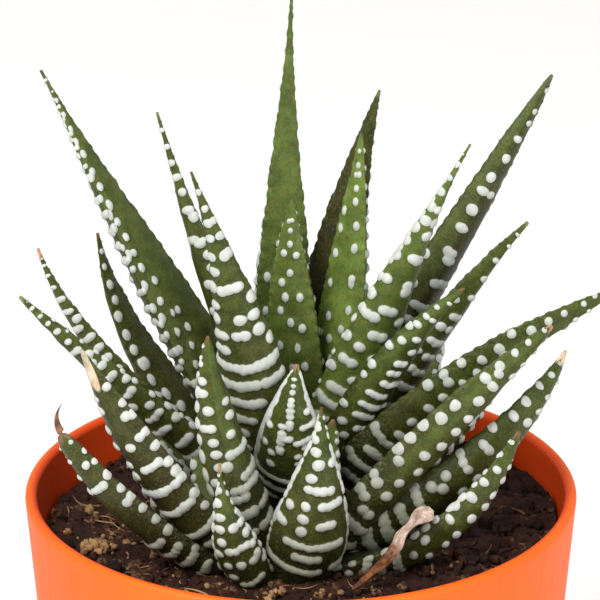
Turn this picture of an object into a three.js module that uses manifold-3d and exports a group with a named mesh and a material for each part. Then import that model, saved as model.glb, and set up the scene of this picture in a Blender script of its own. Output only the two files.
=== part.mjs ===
// A haworthia in a small round plastic pot: three rosettes of pointed, keeled leaves with raised
// white tubercles, standing in peat.  Millimetres, +Z up.  The origin is the middle of the pot's flat
// underside, and the plant is seen from the front along +Y with +X to the right.

import * as THREE from 'three';
import { mergeVertices } from 'three/addons/utils/BufferGeometryUtils.js';
import Module from 'manifold-3d';

const wasm = await Module();
wasm.setup();

// ---------------------------------------------------------------- driving dimensions

const GAP = 0.3;                    // clearance between pieces that touch

const POT_HEIGHT = 53;
const POT_RIM_RADIUS = 30;
const POT_BASE_RADIUS = 24.5;
const POT_WALL = 1.3;
const POT_FLOOR = 1.6;
const POT_EDGE = 1.0;               // rounding of the underside's edge
const POT_SIDES = 56;
const POT_LIP_STEPS = 4;            // facets over the rounded lip

const SOIL_LEVEL = 48.6;            // soil at the wall; it rises a little to the right and in the middle
const SOIL_SLOPE = 0.03;
const SOIL_MOUND = 1.0;
const SOIL_MOUND_SPREAD = 13;
const SOIL_CRUMB = 0.4;             // height of the crumbs
const SOIL_RINGS = 9;
const SOIL_SIDES = 40;

// Each rosette grows from a short crown: [x, y], radius at the soil, top and foot heights.
const CROWNS = {
  main: { x: 0, y: 4, radius: 4.2, top: 56.5, foot: 43 },
  left: { x: -8, y: -9, radius: 2.9, top: 53.5, foot: 44 },
  front: { x: 2, y: -10, radius: 2.9, top: 53.5, foot: 44 },
};
const CROWN_SIDES = 14;
const CROWN_FOOT_SHARE = 0.8;       // the crown's radius at its foot, shoulder and top, as shares of
const CROWN_SHOULDER_SHARE = 0.85;  // its radius at the soil
const CROWN_TOP_SHARE = 0.45;
const CROWN_CAP = 1;                // height of the cap on top

// Leaves.  base, mid and tip are points of the leaf's centre line, width is its widest part, point is
// how drawn out the tip is (over 1 is slender), and faces is the compass angle, from +X towards +Y,
// that the rounded outer face looks to.  across is the number of facets over the outer face.
const LEAVES = [
  // front leaves of the three rosettes
  { name: 'leaf_front_middle', base: [-0.3, -12.5, 49], mid: [1.5, -15.5, 59.3], tip: [2.2, -15, 69.5],
    width: 8.2, point: 1.5, faces: -90, across: 6 },
  { name: 'leaf_front_left_small', base: [-4.8, -13.8, 48.6], mid: [-7.7, -17, 56.3], tip: [-8.7, -17, 63.8],
    width: 5, point: 1.93, faces: -85, across: 6 },
  { name: 'leaf_front_right_upper', base: [2.5, -9.5, 50.5], mid: [15, -9.5, 65], tip: [27, -8, 76],
    width: 6.4, point: 0.64, faces: -60, across: 6 },
  { name: 'leaf_front_right_low', base: [3, -11.5, 50], mid: [15.1, -12, 53.9], tip: [23.5, -10, 64.5],
    width: 5.6, point: 0.76, faces: -60, across: 4 },
  { name: 'leaf_front_right_middle', base: [2.8, -8.5, 50], mid: [19.1, -6.5, 60.2], tip: [28.5, -5, 71.7],
    width: 7.2, point: 0.94, faces: -60, across: 4 },
  { name: 'leaf_left_outer', base: [-7.1, -9.5, 50], mid: [-16.1, -12, 62.2], tip: [-23.5, -13, 75.3],
    width: 7.2, point: 0.8, faces: -125, across: 6 },
  { name: 'leaf_left_low', base: [-9.1, -11.5, 49.5], mid: [-18.3, -13.5, 57.1], tip: [-25.8, -13, 65.5],
    width: 5.1, point: 0.4, faces: -120, across: 4 },
  { name: 'leaf_left_upright', base: [-4.2, -10.8, 51], mid: [-8.7, -12, 64.6], tip: [-10, -12, 76.5],
    width: 5.7, point: 0.86, faces: -65, across: 4 },

  // main rosette, front half
  { name: 'leaf_main_young', base: [-0.1, 2, 52], mid: [-1.1, -6.5, 62.2], tip: [-0.4, -7, 71],
    width: 8, point: 1.04, faces: -95, across: 6 },
  { name: 'leaf_main_banded', base: [-3.3, 0.9, 51], mid: [-5.7, -3.5, 71.1], tip: [-11.8, -3, 91.8],
    width: 8.6, point: 1.42, faces: -105, across: 6 },
  { name: 'leaf_main_right_arched', base: [2, 3, 52], mid: [9, -3, 69], tip: [17.5, -6, 79.5],
    width: 6.4, point: 0.85, faces: -60, across: 4 },
  { name: 'leaf_main_right_long_low', base: [2.2, 2, 50], mid: [15.6, -1.5, 66.2], tip: [33.5, -2, 77.5],
    width: 8.4, point: 0.6, faces: -60, across: 6 },
  { name: 'leaf_main_left_low', base: [-2.5, 2.5, 50.5], mid: [-17.5, -3.5, 66], tip: [-30.2, -6, 78.5],
    width: 6.2, point: 0.9, faces: -125, across: 4 },

  // main rosette, sides
  { name: 'leaf_main_right_narrow', base: [1.8, 3.2, 54], mid: [8.7, 1.5, 73.5], tip: [18.2, 1, 93.3],
    width: 7.4, point: 1.65, faces: -70, across: 6 },
  { name: 'leaf_main_right_long', base: [0.8, 5.4, 52.5], mid: [12.8, 6.5, 73.5], tip: [27.1, 11, 97.2],
    width: 5.5, point: 0.69, faces: -70, across: 6 },
  { name: 'leaf_main_right_back', base: [3.2, 4.4, 50.5], mid: [14, 3.2, 70.2], tip: [24.5, 5, 82.5],
    width: 5.6, point: 0.95, faces: -50, across: 4 },
  { name: 'leaf_main_left_dotted', base: [-0.8, 4.2, 53], mid: [-8.9, 4.5, 74.4], tip: [-15.5, 7, 94.5],
    width: 5.1, point: 1.46, faces: -130, across: 4 },
  { name: 'leaf_main_left_long', base: [-1.2, 4.8, 51], mid: [-15.6, 5, 76.4], tip: [-28, 8, 99],
    width: 8.1, point: 1.46, faces: 145, across: 6 },
  { name: 'leaf_main_left_middle', base: [-2.7, 3.5, 50], mid: [-19.9, 1, 67.4], tip: [-28.3, 0, 81.5],
    width: 5.3, point: 1.39, faces: -135, across: 4 },
  { name: 'leaf_main_left_back', base: [-3.4, 6, 50], mid: [-16.1, 8.5, 64], tip: [-22, 10, 79],
    width: 5.7, point: 1.1, faces: 140, across: 4 },

  // main rosette, back half
  { name: 'leaf_main_centre', base: [0, 4.4, 54], mid: [-1, 5, 71], tip: [-1, 6.5, 84.5],
    width: 6.4, point: 1.0, faces: 80, across: 4, dottedInside: true },
  { name: 'leaf_main_green', base: [1.5, 5.2, 53.5], mid: [4.5, 7.5, 72], tip: [6.5, 9.5, 91],
    width: 6.4, point: 0.95, faces: 55, across: 4, dottedInside: true },
  { name: 'leaf_main_tall', base: [-1.4, 6.6, 52], mid: [-1.8, 10, 77.1], tip: [-1, 14, 105],
    width: 6.8, point: 1.61, faces: 95, across: 4, dottedInside: true },
  { name: 'leaf_main_back_dark', base: [1.8, 7, 51.5], mid: [3.5, 11.8, 72], tip: [8.5, 15, 93.7],
    width: 7.8, point: 1.1, faces: 75, across: 4 },
  { name: 'leaf_back_tall', base: [-0.6, 7.6, 51], mid: [-2.5, 15, 68], tip: [-1.5, 20, 88],
    width: 6.4, point: 1.1, faces: 95, across: 4 },
  { name: 'leaf_back_middle', base: [-0.6, 7.2, 50], mid: [-2, 17, 58.5], tip: [-3, 27, 70],
    width: 6.4, point: 0.9, faces: 97, across: 4 },
  { name: 'leaf_back_right', base: [1.8, 6.6, 50], mid: [5.5, 16, 58.5], tip: [7, 24, 67],
    width: 6, point: 0.9, faces: 72, across: 4 },
  { name: 'leaf_back_left', base: [-2, 6.4, 50], mid: [-9, 15, 58], tip: [-14, 22, 66],
    width: 6, point: 0.9, faces: 125, across: 4 },
  { name: 'leaf_back_right_low', base: [2.4, 6, 49.8], mid: [11, 13.5, 57.5], tip: [16, 20, 66],
    width: 6, point: 0.9, faces: 45, across: 4 },
  { name: 'leaf_back_far_right', base: [3, 5, 49.5], mid: [15, 10, 55], tip: [22.5, 14, 62],
    width: 5.6, point: 0.9, faces: 25, across: 4 },
  { name: 'leaf_back_far_left', base: [-3, 5.4, 49.5], mid: [-14, 10.5, 54.5], tip: [-21.5, 15, 62],
    width: 5.6, point: 0.9, faces: 155, across: 4 },

  // small leaves at the back of the two side rosettes
  { name: 'leaf_front_young', base: [2, -8.6, 52], mid: [2.5, -6.5, 58], tip: [3.5, -6, 64],
    width: 3.8, point: 0.8, faces: 90, across: 4 },
  { name: 'leaf_left_young', base: [-8.5, -7.8, 51.5], mid: [-10, -4, 57], tip: [-11, -2.5, 63],
    width: 4, point: 0.8, faces: 105, across: 4 },
  { name: 'leaf_left_young_low', base: [-9.5, -8.2, 50.5], mid: [-15, -5.5, 55], tip: [-19, -4, 60],
    width: 4.2, point: 0.8, faces: 160, across: 4 },
];

const LEAF_ROW = 1.95;              // length of one row of facets: every second row carries tubercles
const LEAF_ROW_SMOOTH = 4.3;        // length of a row on the smooth form that cuts the neighbours
const LEAF_FULL_AT = 0.8;           // share of the length, from the tip, at which it is full width
const LEAF_FOOT_WIDTH = 0.86;       // width at the foot, as a share of the full width
const LEAF_KEEL = 0.72;             // depth of the outer face, as a share of half the width
const LEAF_INNER = 0.16;            // rise of the inner face's middle, as a share of half the width
const LEAF_LEAST_DEPTH = 0.15;      // added to both faces, so that the tip isn't a knife edge
const LEAF_TIP = 0.3;               // half width of the blunt end of the tip
const LEAF_MARGIN_TOOTH = 0.16;     // how far the margin's teeth stand out
const MARGIN_SMOOTH = 0.1;          // share of the length at each end with no teeth
const TUBERCLE = 0.42;              // how far a tubercle stands up from the leaf
const TUBERCLE_FULL_AT = 2.5;       // half width of the leaf from which its tubercles are full size
const TUBERCLES_FROM = 0.14;        // share of the length at the tip that stays bare
const BANDS_FROM = 0.55;            // share of the length, from the tip, at which dots become bands
const BANDS_TO = 0.93;              // below this the foot of the leaf is smooth
const INNER_DOTS = [0.3, 0.85];     // where a leaf that is dotted inside carries them, from the tip

// The dry leaf at the right front: points of its centre line, and its widths there.
const DRY_LEAF_LINE = [[5.5, -18.5, 49.7], [8.5, -17.5, 52.2], [11.3, -16.2, 54.8], [14, -15, 57.6]];
const DRY_LEAF_WIDTHS = [1.5, 1.8, 2.4, 2.5];
const DRY_LEAF_THICKNESS = 1.4;
const DRY_LEAF_CURL = 0.35;
const DRY_LEAF_TWIST = 0.9;         // radians from end to end
const DRY_LEAF_STEPS = 9;
const DRY_LEAF_SIDES = 8;

// ---------------------------------------------------------------- finishes

const FINISH = {
  pot: { color: '#ff8040', roughness: 0.42 },
  soil: { color: '#3c2519', roughness: 0.95 },
  crown: { color: '#6b7350', roughness: 0.7 },
  leaf: { color: '#4a5d30', roughness: 0.5 },
  dry: { color: '#b98d62', roughness: 0.85 },
};

function material(kind) {
  return new THREE.MeshStandardMaterial({ ...FINISH[kind], metalness: 0 });
}

// ---------------------------------------------------------------- solids: cutting and checking

function geometryFrom(positions, triangles) {
  const geometry = new THREE.BufferGeometry();
  geometry.setAttribute('position', new THREE.Float32BufferAttribute(positions, 3));
  geometry.setIndex(triangles);
  return geometry;
}

// A closed geometry as a solid that can be cut, with only positions kept.
function solidFrom(geometry) {
  const bare = geometry.clone();
  bare.deleteAttribute('normal');
  bare.deleteAttribute('uv');
  const merged = mergeVertices(bare, 1e-4);
  return new wasm.Manifold(new wasm.Mesh({
    numProp: 3,
    vertProperties: new Float32Array(merged.attributes.position.array),
    triVerts: new Uint32Array(merged.index.array),
  }));
}

// A cut can leave loose scraps: only the largest piece is kept.
function largestPiece(solid) {
  const pieces = solid.decompose();
  return pieces.reduce((best, piece) => (piece.volume() > best.volume() ? piece : best));
}

function meshFrom(name, solid, kind) {
  const data = solid.getMesh();
  const geometry = geometryFrom(Array.from(data.vertProperties), Array.from(data.triVerts));
  geometry.computeVertexNormals();
  const mesh = new THREE.Mesh(geometry, material(kind));
  mesh.name = name;
  return mesh;
}

// A solid of revolution about +Z from [radius, height] points that start and end on the axis.
function turned(profile, sides) {
  const points = profile.map(([radius, height]) => new THREE.Vector2(radius, height));
  const geometry = new THREE.LatheGeometry(points, sides);
  geometry.rotateX(Math.PI / 2);
  return geometry;
}

// The same, with every face turned over if the geometry came out inside out.
function outwardSolid(geometry) {
  const solid = solidFrom(geometry);
  if (solid.volume() > 0) return solid;
  const flipped = geometry.clone();
  const index = flipped.index.array;
  for (let i = 0; i < index.length; i += 3) {
    [index[i + 1], index[i + 2]] = [index[i + 2], index[i + 1]];
  }
  return solidFrom(flipped);
}

// ---------------------------------------------------------------- pot

function potOuterRadius(height) {
  return POT_BASE_RADIUS + (POT_RIM_RADIUS - POT_BASE_RADIUS) * height / POT_HEIGHT;
}

function potInnerRadius(height) {
  return potOuterRadius(height) - POT_WALL;
}

// The wall rises straight from a slightly rounded edge to a half-round lip.
function potSolid() {
  const lipMiddle = POT_HEIGHT - POT_WALL / 2;
  const profile = [[0, 0], [POT_BASE_RADIUS - POT_EDGE, 0], [potOuterRadius(POT_EDGE), POT_EDGE]];
  const lipCentre = potOuterRadius(lipMiddle) - POT_WALL / 2;
  for (let step = 0; step <= POT_LIP_STEPS; step += 1) {
    const angle = Math.PI * step / POT_LIP_STEPS;
    const radius = lipCentre + Math.cos(angle) * POT_WALL / 2;
    profile.push([radius, lipMiddle + Math.sin(angle) * POT_WALL / 2]);
  }
  profile.push([potInnerRadius(POT_FLOOR), POT_FLOOR], [0, POT_FLOOR]);
  return outwardSolid(turned(profile, POT_SIDES));
}

// ---------------------------------------------------------------- crowns

// A short stub that narrows into a cap; grow makes the larger one that its neighbours are cut with.
function crownSolid(crown, grow) {
  const { radius, top, foot } = crown;
  const profile = [
    [0, foot - grow],
    [radius * CROWN_FOOT_SHARE + grow, foot - grow],
    [radius + grow, SOIL_LEVEL],
    [radius * CROWN_SHOULDER_SHARE + grow, (SOIL_LEVEL + top) / 2 + grow],
    [radius * CROWN_TOP_SHARE + grow, top - CROWN_CAP + grow],
    [0, top + grow],
  ];
  return outwardSolid(turned(profile, CROWN_SIDES)).translate([crown.x, crown.y, 0]);
}

// ---------------------------------------------------------------- soil

// Height of the peat's surface: a low mound that tips to the right, with crumbs from crossed waves.
function soilHeight(x, y) {
  const spread = (x * x + y * y) / (SOIL_MOUND_SPREAD * SOIL_MOUND_SPREAD);
  const crumbs = Math.sin(1.9 * x + 0.7 * y) * Math.cos(1.3 * y - 0.8 * x) + Math.sin(0.9 * x * y / 8 + y);
  return SOIL_LEVEL + SOIL_SLOPE * x + SOIL_MOUND * Math.exp(-spread) + SOIL_CRUMB * crumbs / 2;
}

// A point of the soil's ring at a radius: odd rings are turned by half a side.
function soilPoint(ring, side, radius) {
  const angle = (side + (ring % 2) / 2) * 2 * Math.PI / SOIL_SIDES;
  return [radius * Math.cos(angle), radius * Math.sin(angle)];
}

// The peat: rings of facets over its crumbled top, a wall that follows the pot and a flat bottom.
// lift raises only the top, for what is cut by it.
function soilSolid(lift) {
  const bottom = POT_FLOOR + GAP;
  const topRadius = potInnerRadius(SOIL_LEVEL - 1) - GAP;
  const positions = [0, 0, soilHeight(0, 0) + lift];
  const triangles = [];
  for (let ring = 1; ring <= SOIL_RINGS; ring += 1) {
    for (let side = 0; side < SOIL_SIDES; side += 1) {
      const [x, y] = soilPoint(ring, side, topRadius * ring / SOIL_RINGS);
      positions.push(x, y, soilHeight(x, y) + lift);
    }
  }
  const at = (ring, side) => 1 + (ring - 1) * SOIL_SIDES + (side % SOIL_SIDES);
  for (let side = 0; side < SOIL_SIDES; side += 1) {
    triangles.push(0, at(1, side), at(1, side + 1));
    for (let ring = 1; ring < SOIL_RINGS; ring += 1) {
      const shift = ring % 2;
      const [innerA, innerB] = [at(ring, side), at(ring, side + 1)];
      const [outerA, outerB] = [at(ring + 1, side + shift), at(ring + 1, side + 1 + shift)];
      if (shift) {
        triangles.push(innerA, outerA, innerB, innerB, outerA, outerB);
      } else {
        triangles.push(innerA, outerA, outerB, innerA, outerB, innerB);
      }
    }
  }
  const floor = positions.length / 3;
  const floorCentre = floor + SOIL_SIDES;
  for (let side = 0; side < SOIL_SIDES; side += 1) {
    const next = (side + 1) % SOIL_SIDES;
    positions.push(...soilPoint(SOIL_RINGS, side, potInnerRadius(bottom) - GAP), bottom);
    triangles.push(at(SOIL_RINGS, side), floor + side, floor + next);
    triangles.push(at(SOIL_RINGS, side), floor + next, at(SOIL_RINGS, next));
    triangles.push(floorCentre, floor + next, floor + side);
  }
  positions.push(0, 0, bottom);
  return outwardSolid(geometryFrom(positions, triangles));
}

// ---------------------------------------------------------------- leaves

// Half width at a share of the length from the tip: a sine that swells to full width, drawn out
// towards the tip by the power `point`, and slightly narrower again at the foot.
function leafHalfWidth(leaf, fromTip) {
  const swell = Math.sin(Math.PI / 2 * Math.min(1, fromTip / LEAF_FULL_AT)) ** leaf.point;
  const past = Math.max(0, fromTip - LEAF_FULL_AT) / (1 - LEAF_FULL_AT);
  const full = (leaf.width / 2 - LEAF_TIP) * swell * (1 - (1 - LEAF_FOOT_WIDTH) * past);
  return LEAF_TIP + full;
}

// The curve through base, mid and tip, with mid halfway.
function centreLine(leaf) {
  const [base, mid, tip] = [leaf.base, leaf.mid, leaf.tip].map((p) => new THREE.Vector3(...p));
  const control = mid.clone().multiplyScalar(2).addScaledVector(base, -0.5).addScaledVector(tip, -0.5);
  return new THREE.QuadraticBezierCurve3(base, control, tip);
}

// Directions at one point of the curve: side is across the leaf, out is the way its keel points.
function leafFrame(curve, share, faces) {
  const along = curve.getTangent(share);
  const angle = THREE.MathUtils.degToRad(faces);
  const outward = new THREE.Vector3(Math.cos(angle), Math.sin(angle), 0);
  const side = new THREE.Vector3(0, 0, 1).cross(outward);
  side.addScaledVector(along, -side.dot(along)).normalize();
  return { side, out: new THREE.Vector3().crossVectors(side, along) };
}

// Which facets carry a tubercle: on the outer face every second row is a band low down, and higher
// up the dots are staggered from row to row.  A leaf that is dotted inside has sparse rows there.
function hasTubercle(leaf, row, column, fromTip) {
  if (column >= leaf.across) {
    return Boolean(leaf.dottedInside) && row % 3 === 0 && fromTip > INNER_DOTS[0] && fromTip < INNER_DOTS[1];
  }
  if (fromTip < TUBERCLES_FROM || fromTip > BANDS_TO) return false;
  return fromTip > BANDS_FROM ? row % 2 === 0 : (row + column) % 2 === 0;
}

// One closed section: `across` facets round the keeled outer face and two over the inner face.
function leafSection(leaf, curve, share, tooth, grow) {
  const { side, out } = leafFrame(curve, share, leaf.faces);
  const centre = curve.getPoint(share);
  const half = leafHalfWidth(leaf, 1 - share) + grow;
  const keel = LEAF_KEEL * half + LEAF_LEAST_DEPTH + grow / 2;
  const inner = LEAF_INNER * half + LEAF_LEAST_DEPTH + grow;
  const points = [];
  for (let column = 0; column <= leaf.across; column += 1) {
    const angle = Math.PI * column / leaf.across;
    const reach = half + (column % leaf.across === 0 ? tooth : 0);
    const point = centre.clone().addScaledVector(side, reach * Math.cos(angle));
    points.push(point.addScaledVector(out, keel * Math.sin(angle)));
  }
  points.push(centre.clone().addScaledVector(out, -inner));
  return points;
}

// A leaf as rows of sections along its curve, closed by a fan at each end.  A facet with a tubercle
// is raised to a peak.  grow > 0 gives the smooth, larger form that its neighbours are cut with.
function leafSolid(leaf, grow) {
  const curve = centreLine(leaf);
  const rows = Math.round(curve.getLength() / (grow ? LEAF_ROW_SMOOTH : LEAF_ROW));
  const around = leaf.across + 2;
  const points = [];
  const triangles = [];
  for (let row = 0; row <= rows; row += 1) {
    const share = row / rows;
    const toothed = row % 2 === 0 && share > MARGIN_SMOOTH && share < 1 - MARGIN_SMOOTH;
    points.push(...leafSection(leaf, curve, share, toothed && !grow ? LEAF_MARGIN_TOOTH : 0, grow));
  }
  const at = (row, column) => row * around + (column % around);
  for (let row = 0; row < rows; row += 1) {
    const fromTip = 1 - (row + 0.5) / rows;
    for (let column = 0; column < around; column += 1) {
      const ring = [at(row, column), at(row, column + 1), at(row + 1, column + 1), at(row + 1, column)];
      if (!grow && hasTubercle(leaf, row, column, fromTip)) {
        const size = 0.5 + 0.5 * Math.min(1, leafHalfWidth(leaf, fromTip) / TUBERCLE_FULL_AT);
        points.push(raisedPeak(ring.map((index) => points[index]), TUBERCLE * size));
        const peak = points.length - 1;
        ring.forEach((index, i) => triangles.push(index, peak, ring[(i + 1) % ring.length]));
      } else {
        triangles.push(ring[0], ring[2], ring[1], ring[0], ring[3], ring[2]);
      }
    }
  }
  for (let column = 1; column + 1 < around; column += 1) {
    triangles.push(at(0, 0), at(0, column), at(0, column + 1));
    triangles.push(at(rows, 0), at(rows, column + 1), at(rows, column));
  }
  return outwardSolid(geometryFrom(points.flatMap((point) => point.toArray()), triangles));
}

// The middle of a four-cornered facet, raised along its normal.
function raisedPeak(corners, height) {
  const [a, b, c, d] = corners;
  const normal = c.clone().sub(a).cross(b.clone().sub(d)).normalize();
  const middle = a.clone().add(b).add(c).add(d).multiplyScalar(1 / 4);
  return middle.addScaledVector(normal, height);
}

// ---------------------------------------------------------------- the dry leaf

// Width at a share of the length, straight between the listed widths.
function dryLeafWidth(share) {
  const place = share * (DRY_LEAF_WIDTHS.length - 1);
  const first = Math.min(Math.floor(place), DRY_LEAF_WIDTHS.length - 2);
  return THREE.MathUtils.lerp(DRY_LEAF_WIDTHS[first], DRY_LEAF_WIDTHS[first + 1], place - first);
}

// A flattened, twisted tube along the curve, with its edges curled up.
function dryLeafSolid(grow) {
  const curve = new THREE.CatmullRomCurve3(DRY_LEAF_LINE.map((p) => new THREE.Vector3(...p)));
  const positions = [];
  const triangles = [];
  for (let step = 0; step <= DRY_LEAF_STEPS; step += 1) {
    const share = step / DRY_LEAF_STEPS;
    const along = curve.getTangent(share);
    const side = new THREE.Vector3(0, 0, 1).cross(along).normalize();
    const up = new THREE.Vector3().crossVectors(along, side);
    for (let i = 0; i < DRY_LEAF_SIDES; i += 1) {
      const angle = 2 * Math.PI * i / DRY_LEAF_SIDES + DRY_LEAF_TWIST * share;
      const rise = (DRY_LEAF_THICKNESS / 2 + grow) * Math.sin(angle) + DRY_LEAF_CURL * Math.cos(2 * angle);
      const point = curve.getPoint(share).addScaledVector(up, rise);
      point.addScaledVector(side, (dryLeafWidth(share) / 2 + grow) * Math.cos(angle));
      positions.push(point.x, point.y, point.z);
    }
  }
  const at = (step, i) => step * DRY_LEAF_SIDES + (i % DRY_LEAF_SIDES);
  for (let step = 0; step < DRY_LEAF_STEPS; step += 1) {
    for (let i = 0; i < DRY_LEAF_SIDES; i += 1) {
      triangles.push(at(step, i), at(step, i + 1), at(step + 1, i + 1));
      triangles.push(at(step, i), at(step + 1, i + 1), at(step + 1, i));
    }
  }
  for (let i = 1; i + 1 < DRY_LEAF_SIDES; i += 1) {
    triangles.push(at(0, 0), at(0, i + 1), at(0, i));
    triangles.push(at(DRY_LEAF_STEPS, 0), at(DRY_LEAF_STEPS, i), at(DRY_LEAF_STEPS, i + 1));
  }
  return outwardSolid(geometryFrom(positions, triangles));
}

// ---------------------------------------------------------------- assembly

// The plant is put together from the front: each leaf keeps clear of the crowns, of the peat and of
// the leaves before it in the list.
const plant = new THREE.Group();
plant.add(meshFrom('pot', potSolid(), 'pot'));

const crownsGrown = Object.values(CROWNS).map((crown) => crownSolid(crown, GAP));
let soil = soilSolid(0);
crownsGrown.forEach((grown) => { soil = soil.subtract(grown); });
plant.add(meshFrom('soil', largestPiece(soil), 'soil'));
for (const [name, crown] of Object.entries(CROWNS)) {
  plant.add(meshFrom(`crown_${name}`, crownSolid(crown, 0), 'crown'));
}

const keptClear = [...crownsGrown, soilSolid(GAP)];
const dryLeaf = largestPiece(dryLeafSolid(0).subtract(soilSolid(GAP)));
plant.add(meshFrom('dry_leaf', dryLeaf, 'dry'));
keptClear.push(dryLeafSolid(GAP));

for (const leaf of LEAVES) {
  const whole = leafSolid(leaf, 0);
  const cut = keptClear.reduce((solid, neighbour) => solid.subtract(neighbour), whole);
  plant.add(meshFrom(leaf.name, largestPiece(cut), 'leaf'));
  keptClear.push(leafSolid(leaf, GAP + TUBERCLE));
}

export default plant;
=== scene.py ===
"""A haworthia in a round orange plastic pot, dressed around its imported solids.

Every visible surface is worked out as whole numpy arrays from a few named sizes.  Sizes in the tables
are millimetres and become metres when a mesh is made.  +Z is up, the plant is seen from the front along
+Y, and the origin is the middle of the pot's underside.
"""

import math
import re
from collections import namedtuple

import bpy
import numpy as np
from bpy.props import FloatProperty, FloatVectorProperty, IntProperty, PointerProperty
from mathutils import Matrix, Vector


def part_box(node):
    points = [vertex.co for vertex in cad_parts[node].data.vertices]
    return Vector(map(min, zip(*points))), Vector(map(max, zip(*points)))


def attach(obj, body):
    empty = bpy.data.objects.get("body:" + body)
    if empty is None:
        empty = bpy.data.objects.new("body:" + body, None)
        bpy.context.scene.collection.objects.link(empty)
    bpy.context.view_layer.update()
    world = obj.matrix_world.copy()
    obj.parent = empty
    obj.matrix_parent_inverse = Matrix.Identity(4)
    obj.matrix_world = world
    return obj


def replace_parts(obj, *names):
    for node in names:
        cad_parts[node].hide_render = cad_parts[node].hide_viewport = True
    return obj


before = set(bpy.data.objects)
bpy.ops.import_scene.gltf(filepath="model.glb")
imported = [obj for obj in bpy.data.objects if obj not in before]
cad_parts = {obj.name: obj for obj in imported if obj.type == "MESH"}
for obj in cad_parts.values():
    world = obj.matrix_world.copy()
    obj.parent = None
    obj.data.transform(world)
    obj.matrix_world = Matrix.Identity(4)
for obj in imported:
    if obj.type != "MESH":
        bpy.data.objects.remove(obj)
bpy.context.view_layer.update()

bl_info = {
    "name": "Potted Haworthia",
    "version": (1, 0, 0),
    "blender": (4, 5, 0),
    "location": "3D View > Sidebar > Haworthia",
    "description": "Builds a potted haworthia: pot, peat, crowns, leaves, a dry leaf, and stage",
    "category": "Add Mesh",
}

MM = 0.001
UP = np.array((0, 0, 1.0))


def linear(red, green, blue):
    """Linear colour from 0-255 display values: the inverse of the display curve."""
    display = np.array((red, green, blue)) / 255
    return tuple(np.where(display <= 0.04045, display / 12.92, ((display + 0.055) / 1.055) ** 2.4))


# ---------------------------------------------------------------- sizes and colours a user would change

POT_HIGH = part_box("pot")[1]


def length_property(name, description, default):
    """A length in metres, shown in the scene's units."""
    return FloatProperty(name=name, description=description, default=default, min=0, unit="LENGTH",
                         subtype="DISTANCE", precision=5)


def colour_property(name, description, default):
    """A linear colour, shown as a swatch."""
    return FloatVectorProperty(name=name, description=description, default=default, size=3, min=0, max=1,
                               subtype="COLOR")


class HaworthiaPot(bpy.types.PropertyGroup):
    """Sizes and colour of the pot."""

    height: length_property("Height", "Height of the pot", POT_HIGH.z)
    rim_radius: length_property("Rim radius", "Outer radius at the rim", POT_HIGH.x)
    base_radius: length_property("Base radius", "Outer radius at the underside", 0.0245)
    wall: length_property("Wall", "Thickness of the wall", 0.0013)
    floor: length_property("Floor", "Thickness of the floor", 0.0016)
    colour: colour_property("Plastic", "Colour of the plastic", linear(252, 106, 20))


class HaworthiaSoil(bpy.types.PropertyGroup):
    """The peat and what lies on it."""

    level: length_property("Level", "Height of the peat at the wall", 0.0486)
    crumbs: IntProperty(name="Crumbs", description="Number of loose crumbs", default=1500, min=0)
    fibres: IntProperty(name="Fibres", description="Number of loose fibres", default=150, min=0)
    dark: colour_property("Dark peat", "Colour of the wet peat", linear(17, 7, 5))
    brown: colour_property("Brown peat", "Colour of the dry crumbs", linear(54, 29, 19))
    tan: colour_property("Tan", "Colour of the palest crumbs and fibres", linear(168, 132, 90))


class HaworthiaLeaves(bpy.types.PropertyGroup):
    """Tubercles and colours of the leaves."""

    row_pitch: length_property("Row pitch", "Distance between rows of tubercles", 0.0019)
    tubercle: length_property("Tubercle", "Width of a full-size tubercle", 0.00115)
    rise: length_property("Rise", "Height of a full-size tubercle", 0.00034)
    row_step: length_property("Row step", "Length of one row of faces", 0.00016)
    dark_green: colour_property("Dark green", "Leaf colour low down", linear(54, 51, 24))
    green: colour_property("Green", "Leaf colour higher up", linear(70, 85, 29))
    bright_green: colour_property("Bright green", "Colour of the smooth strips", linear(106, 130, 62))
    white: colour_property("Tubercles", "Colour of the tubercles", linear(202, 205, 198))


class HaworthiaStage(bpy.types.PropertyGroup):
    """Camera, floor and lights."""

    camera_distance: length_property("Camera distance", "From the camera to the middle of the view", 2.0)
    camera_elevation: FloatProperty(name="Camera elevation", description="Angle above the horizon",
                                    default=math.radians(23.6), subtype="ANGLE")
    view_width: length_property("View width", "Width of the view at the pot's axis", 0.065)
    floor_colour: colour_property("Floor", "Colour of the floor", (0.97, 0.97, 0.97))
    key_power: FloatProperty(name="Key light", description="Power of the main light in watts", default=16.0,
                             min=0, unit="POWER")
    sky: FloatProperty(name="Sky", description="Strength of the even light from all round", default=0.47,
                       min=0)


# ---------------------------------------------------------------- meshes from arrays


def enclosed_volume(points, triangles):
    """Sum over the triangles of a . (b x c) / 6, which is positive where faces point outwards."""
    a, b, c = (points[triangles[:, i]] for i in range(3))
    return float(np.einsum("ij,ij->", a, np.cross(b, c))) / 6


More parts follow.
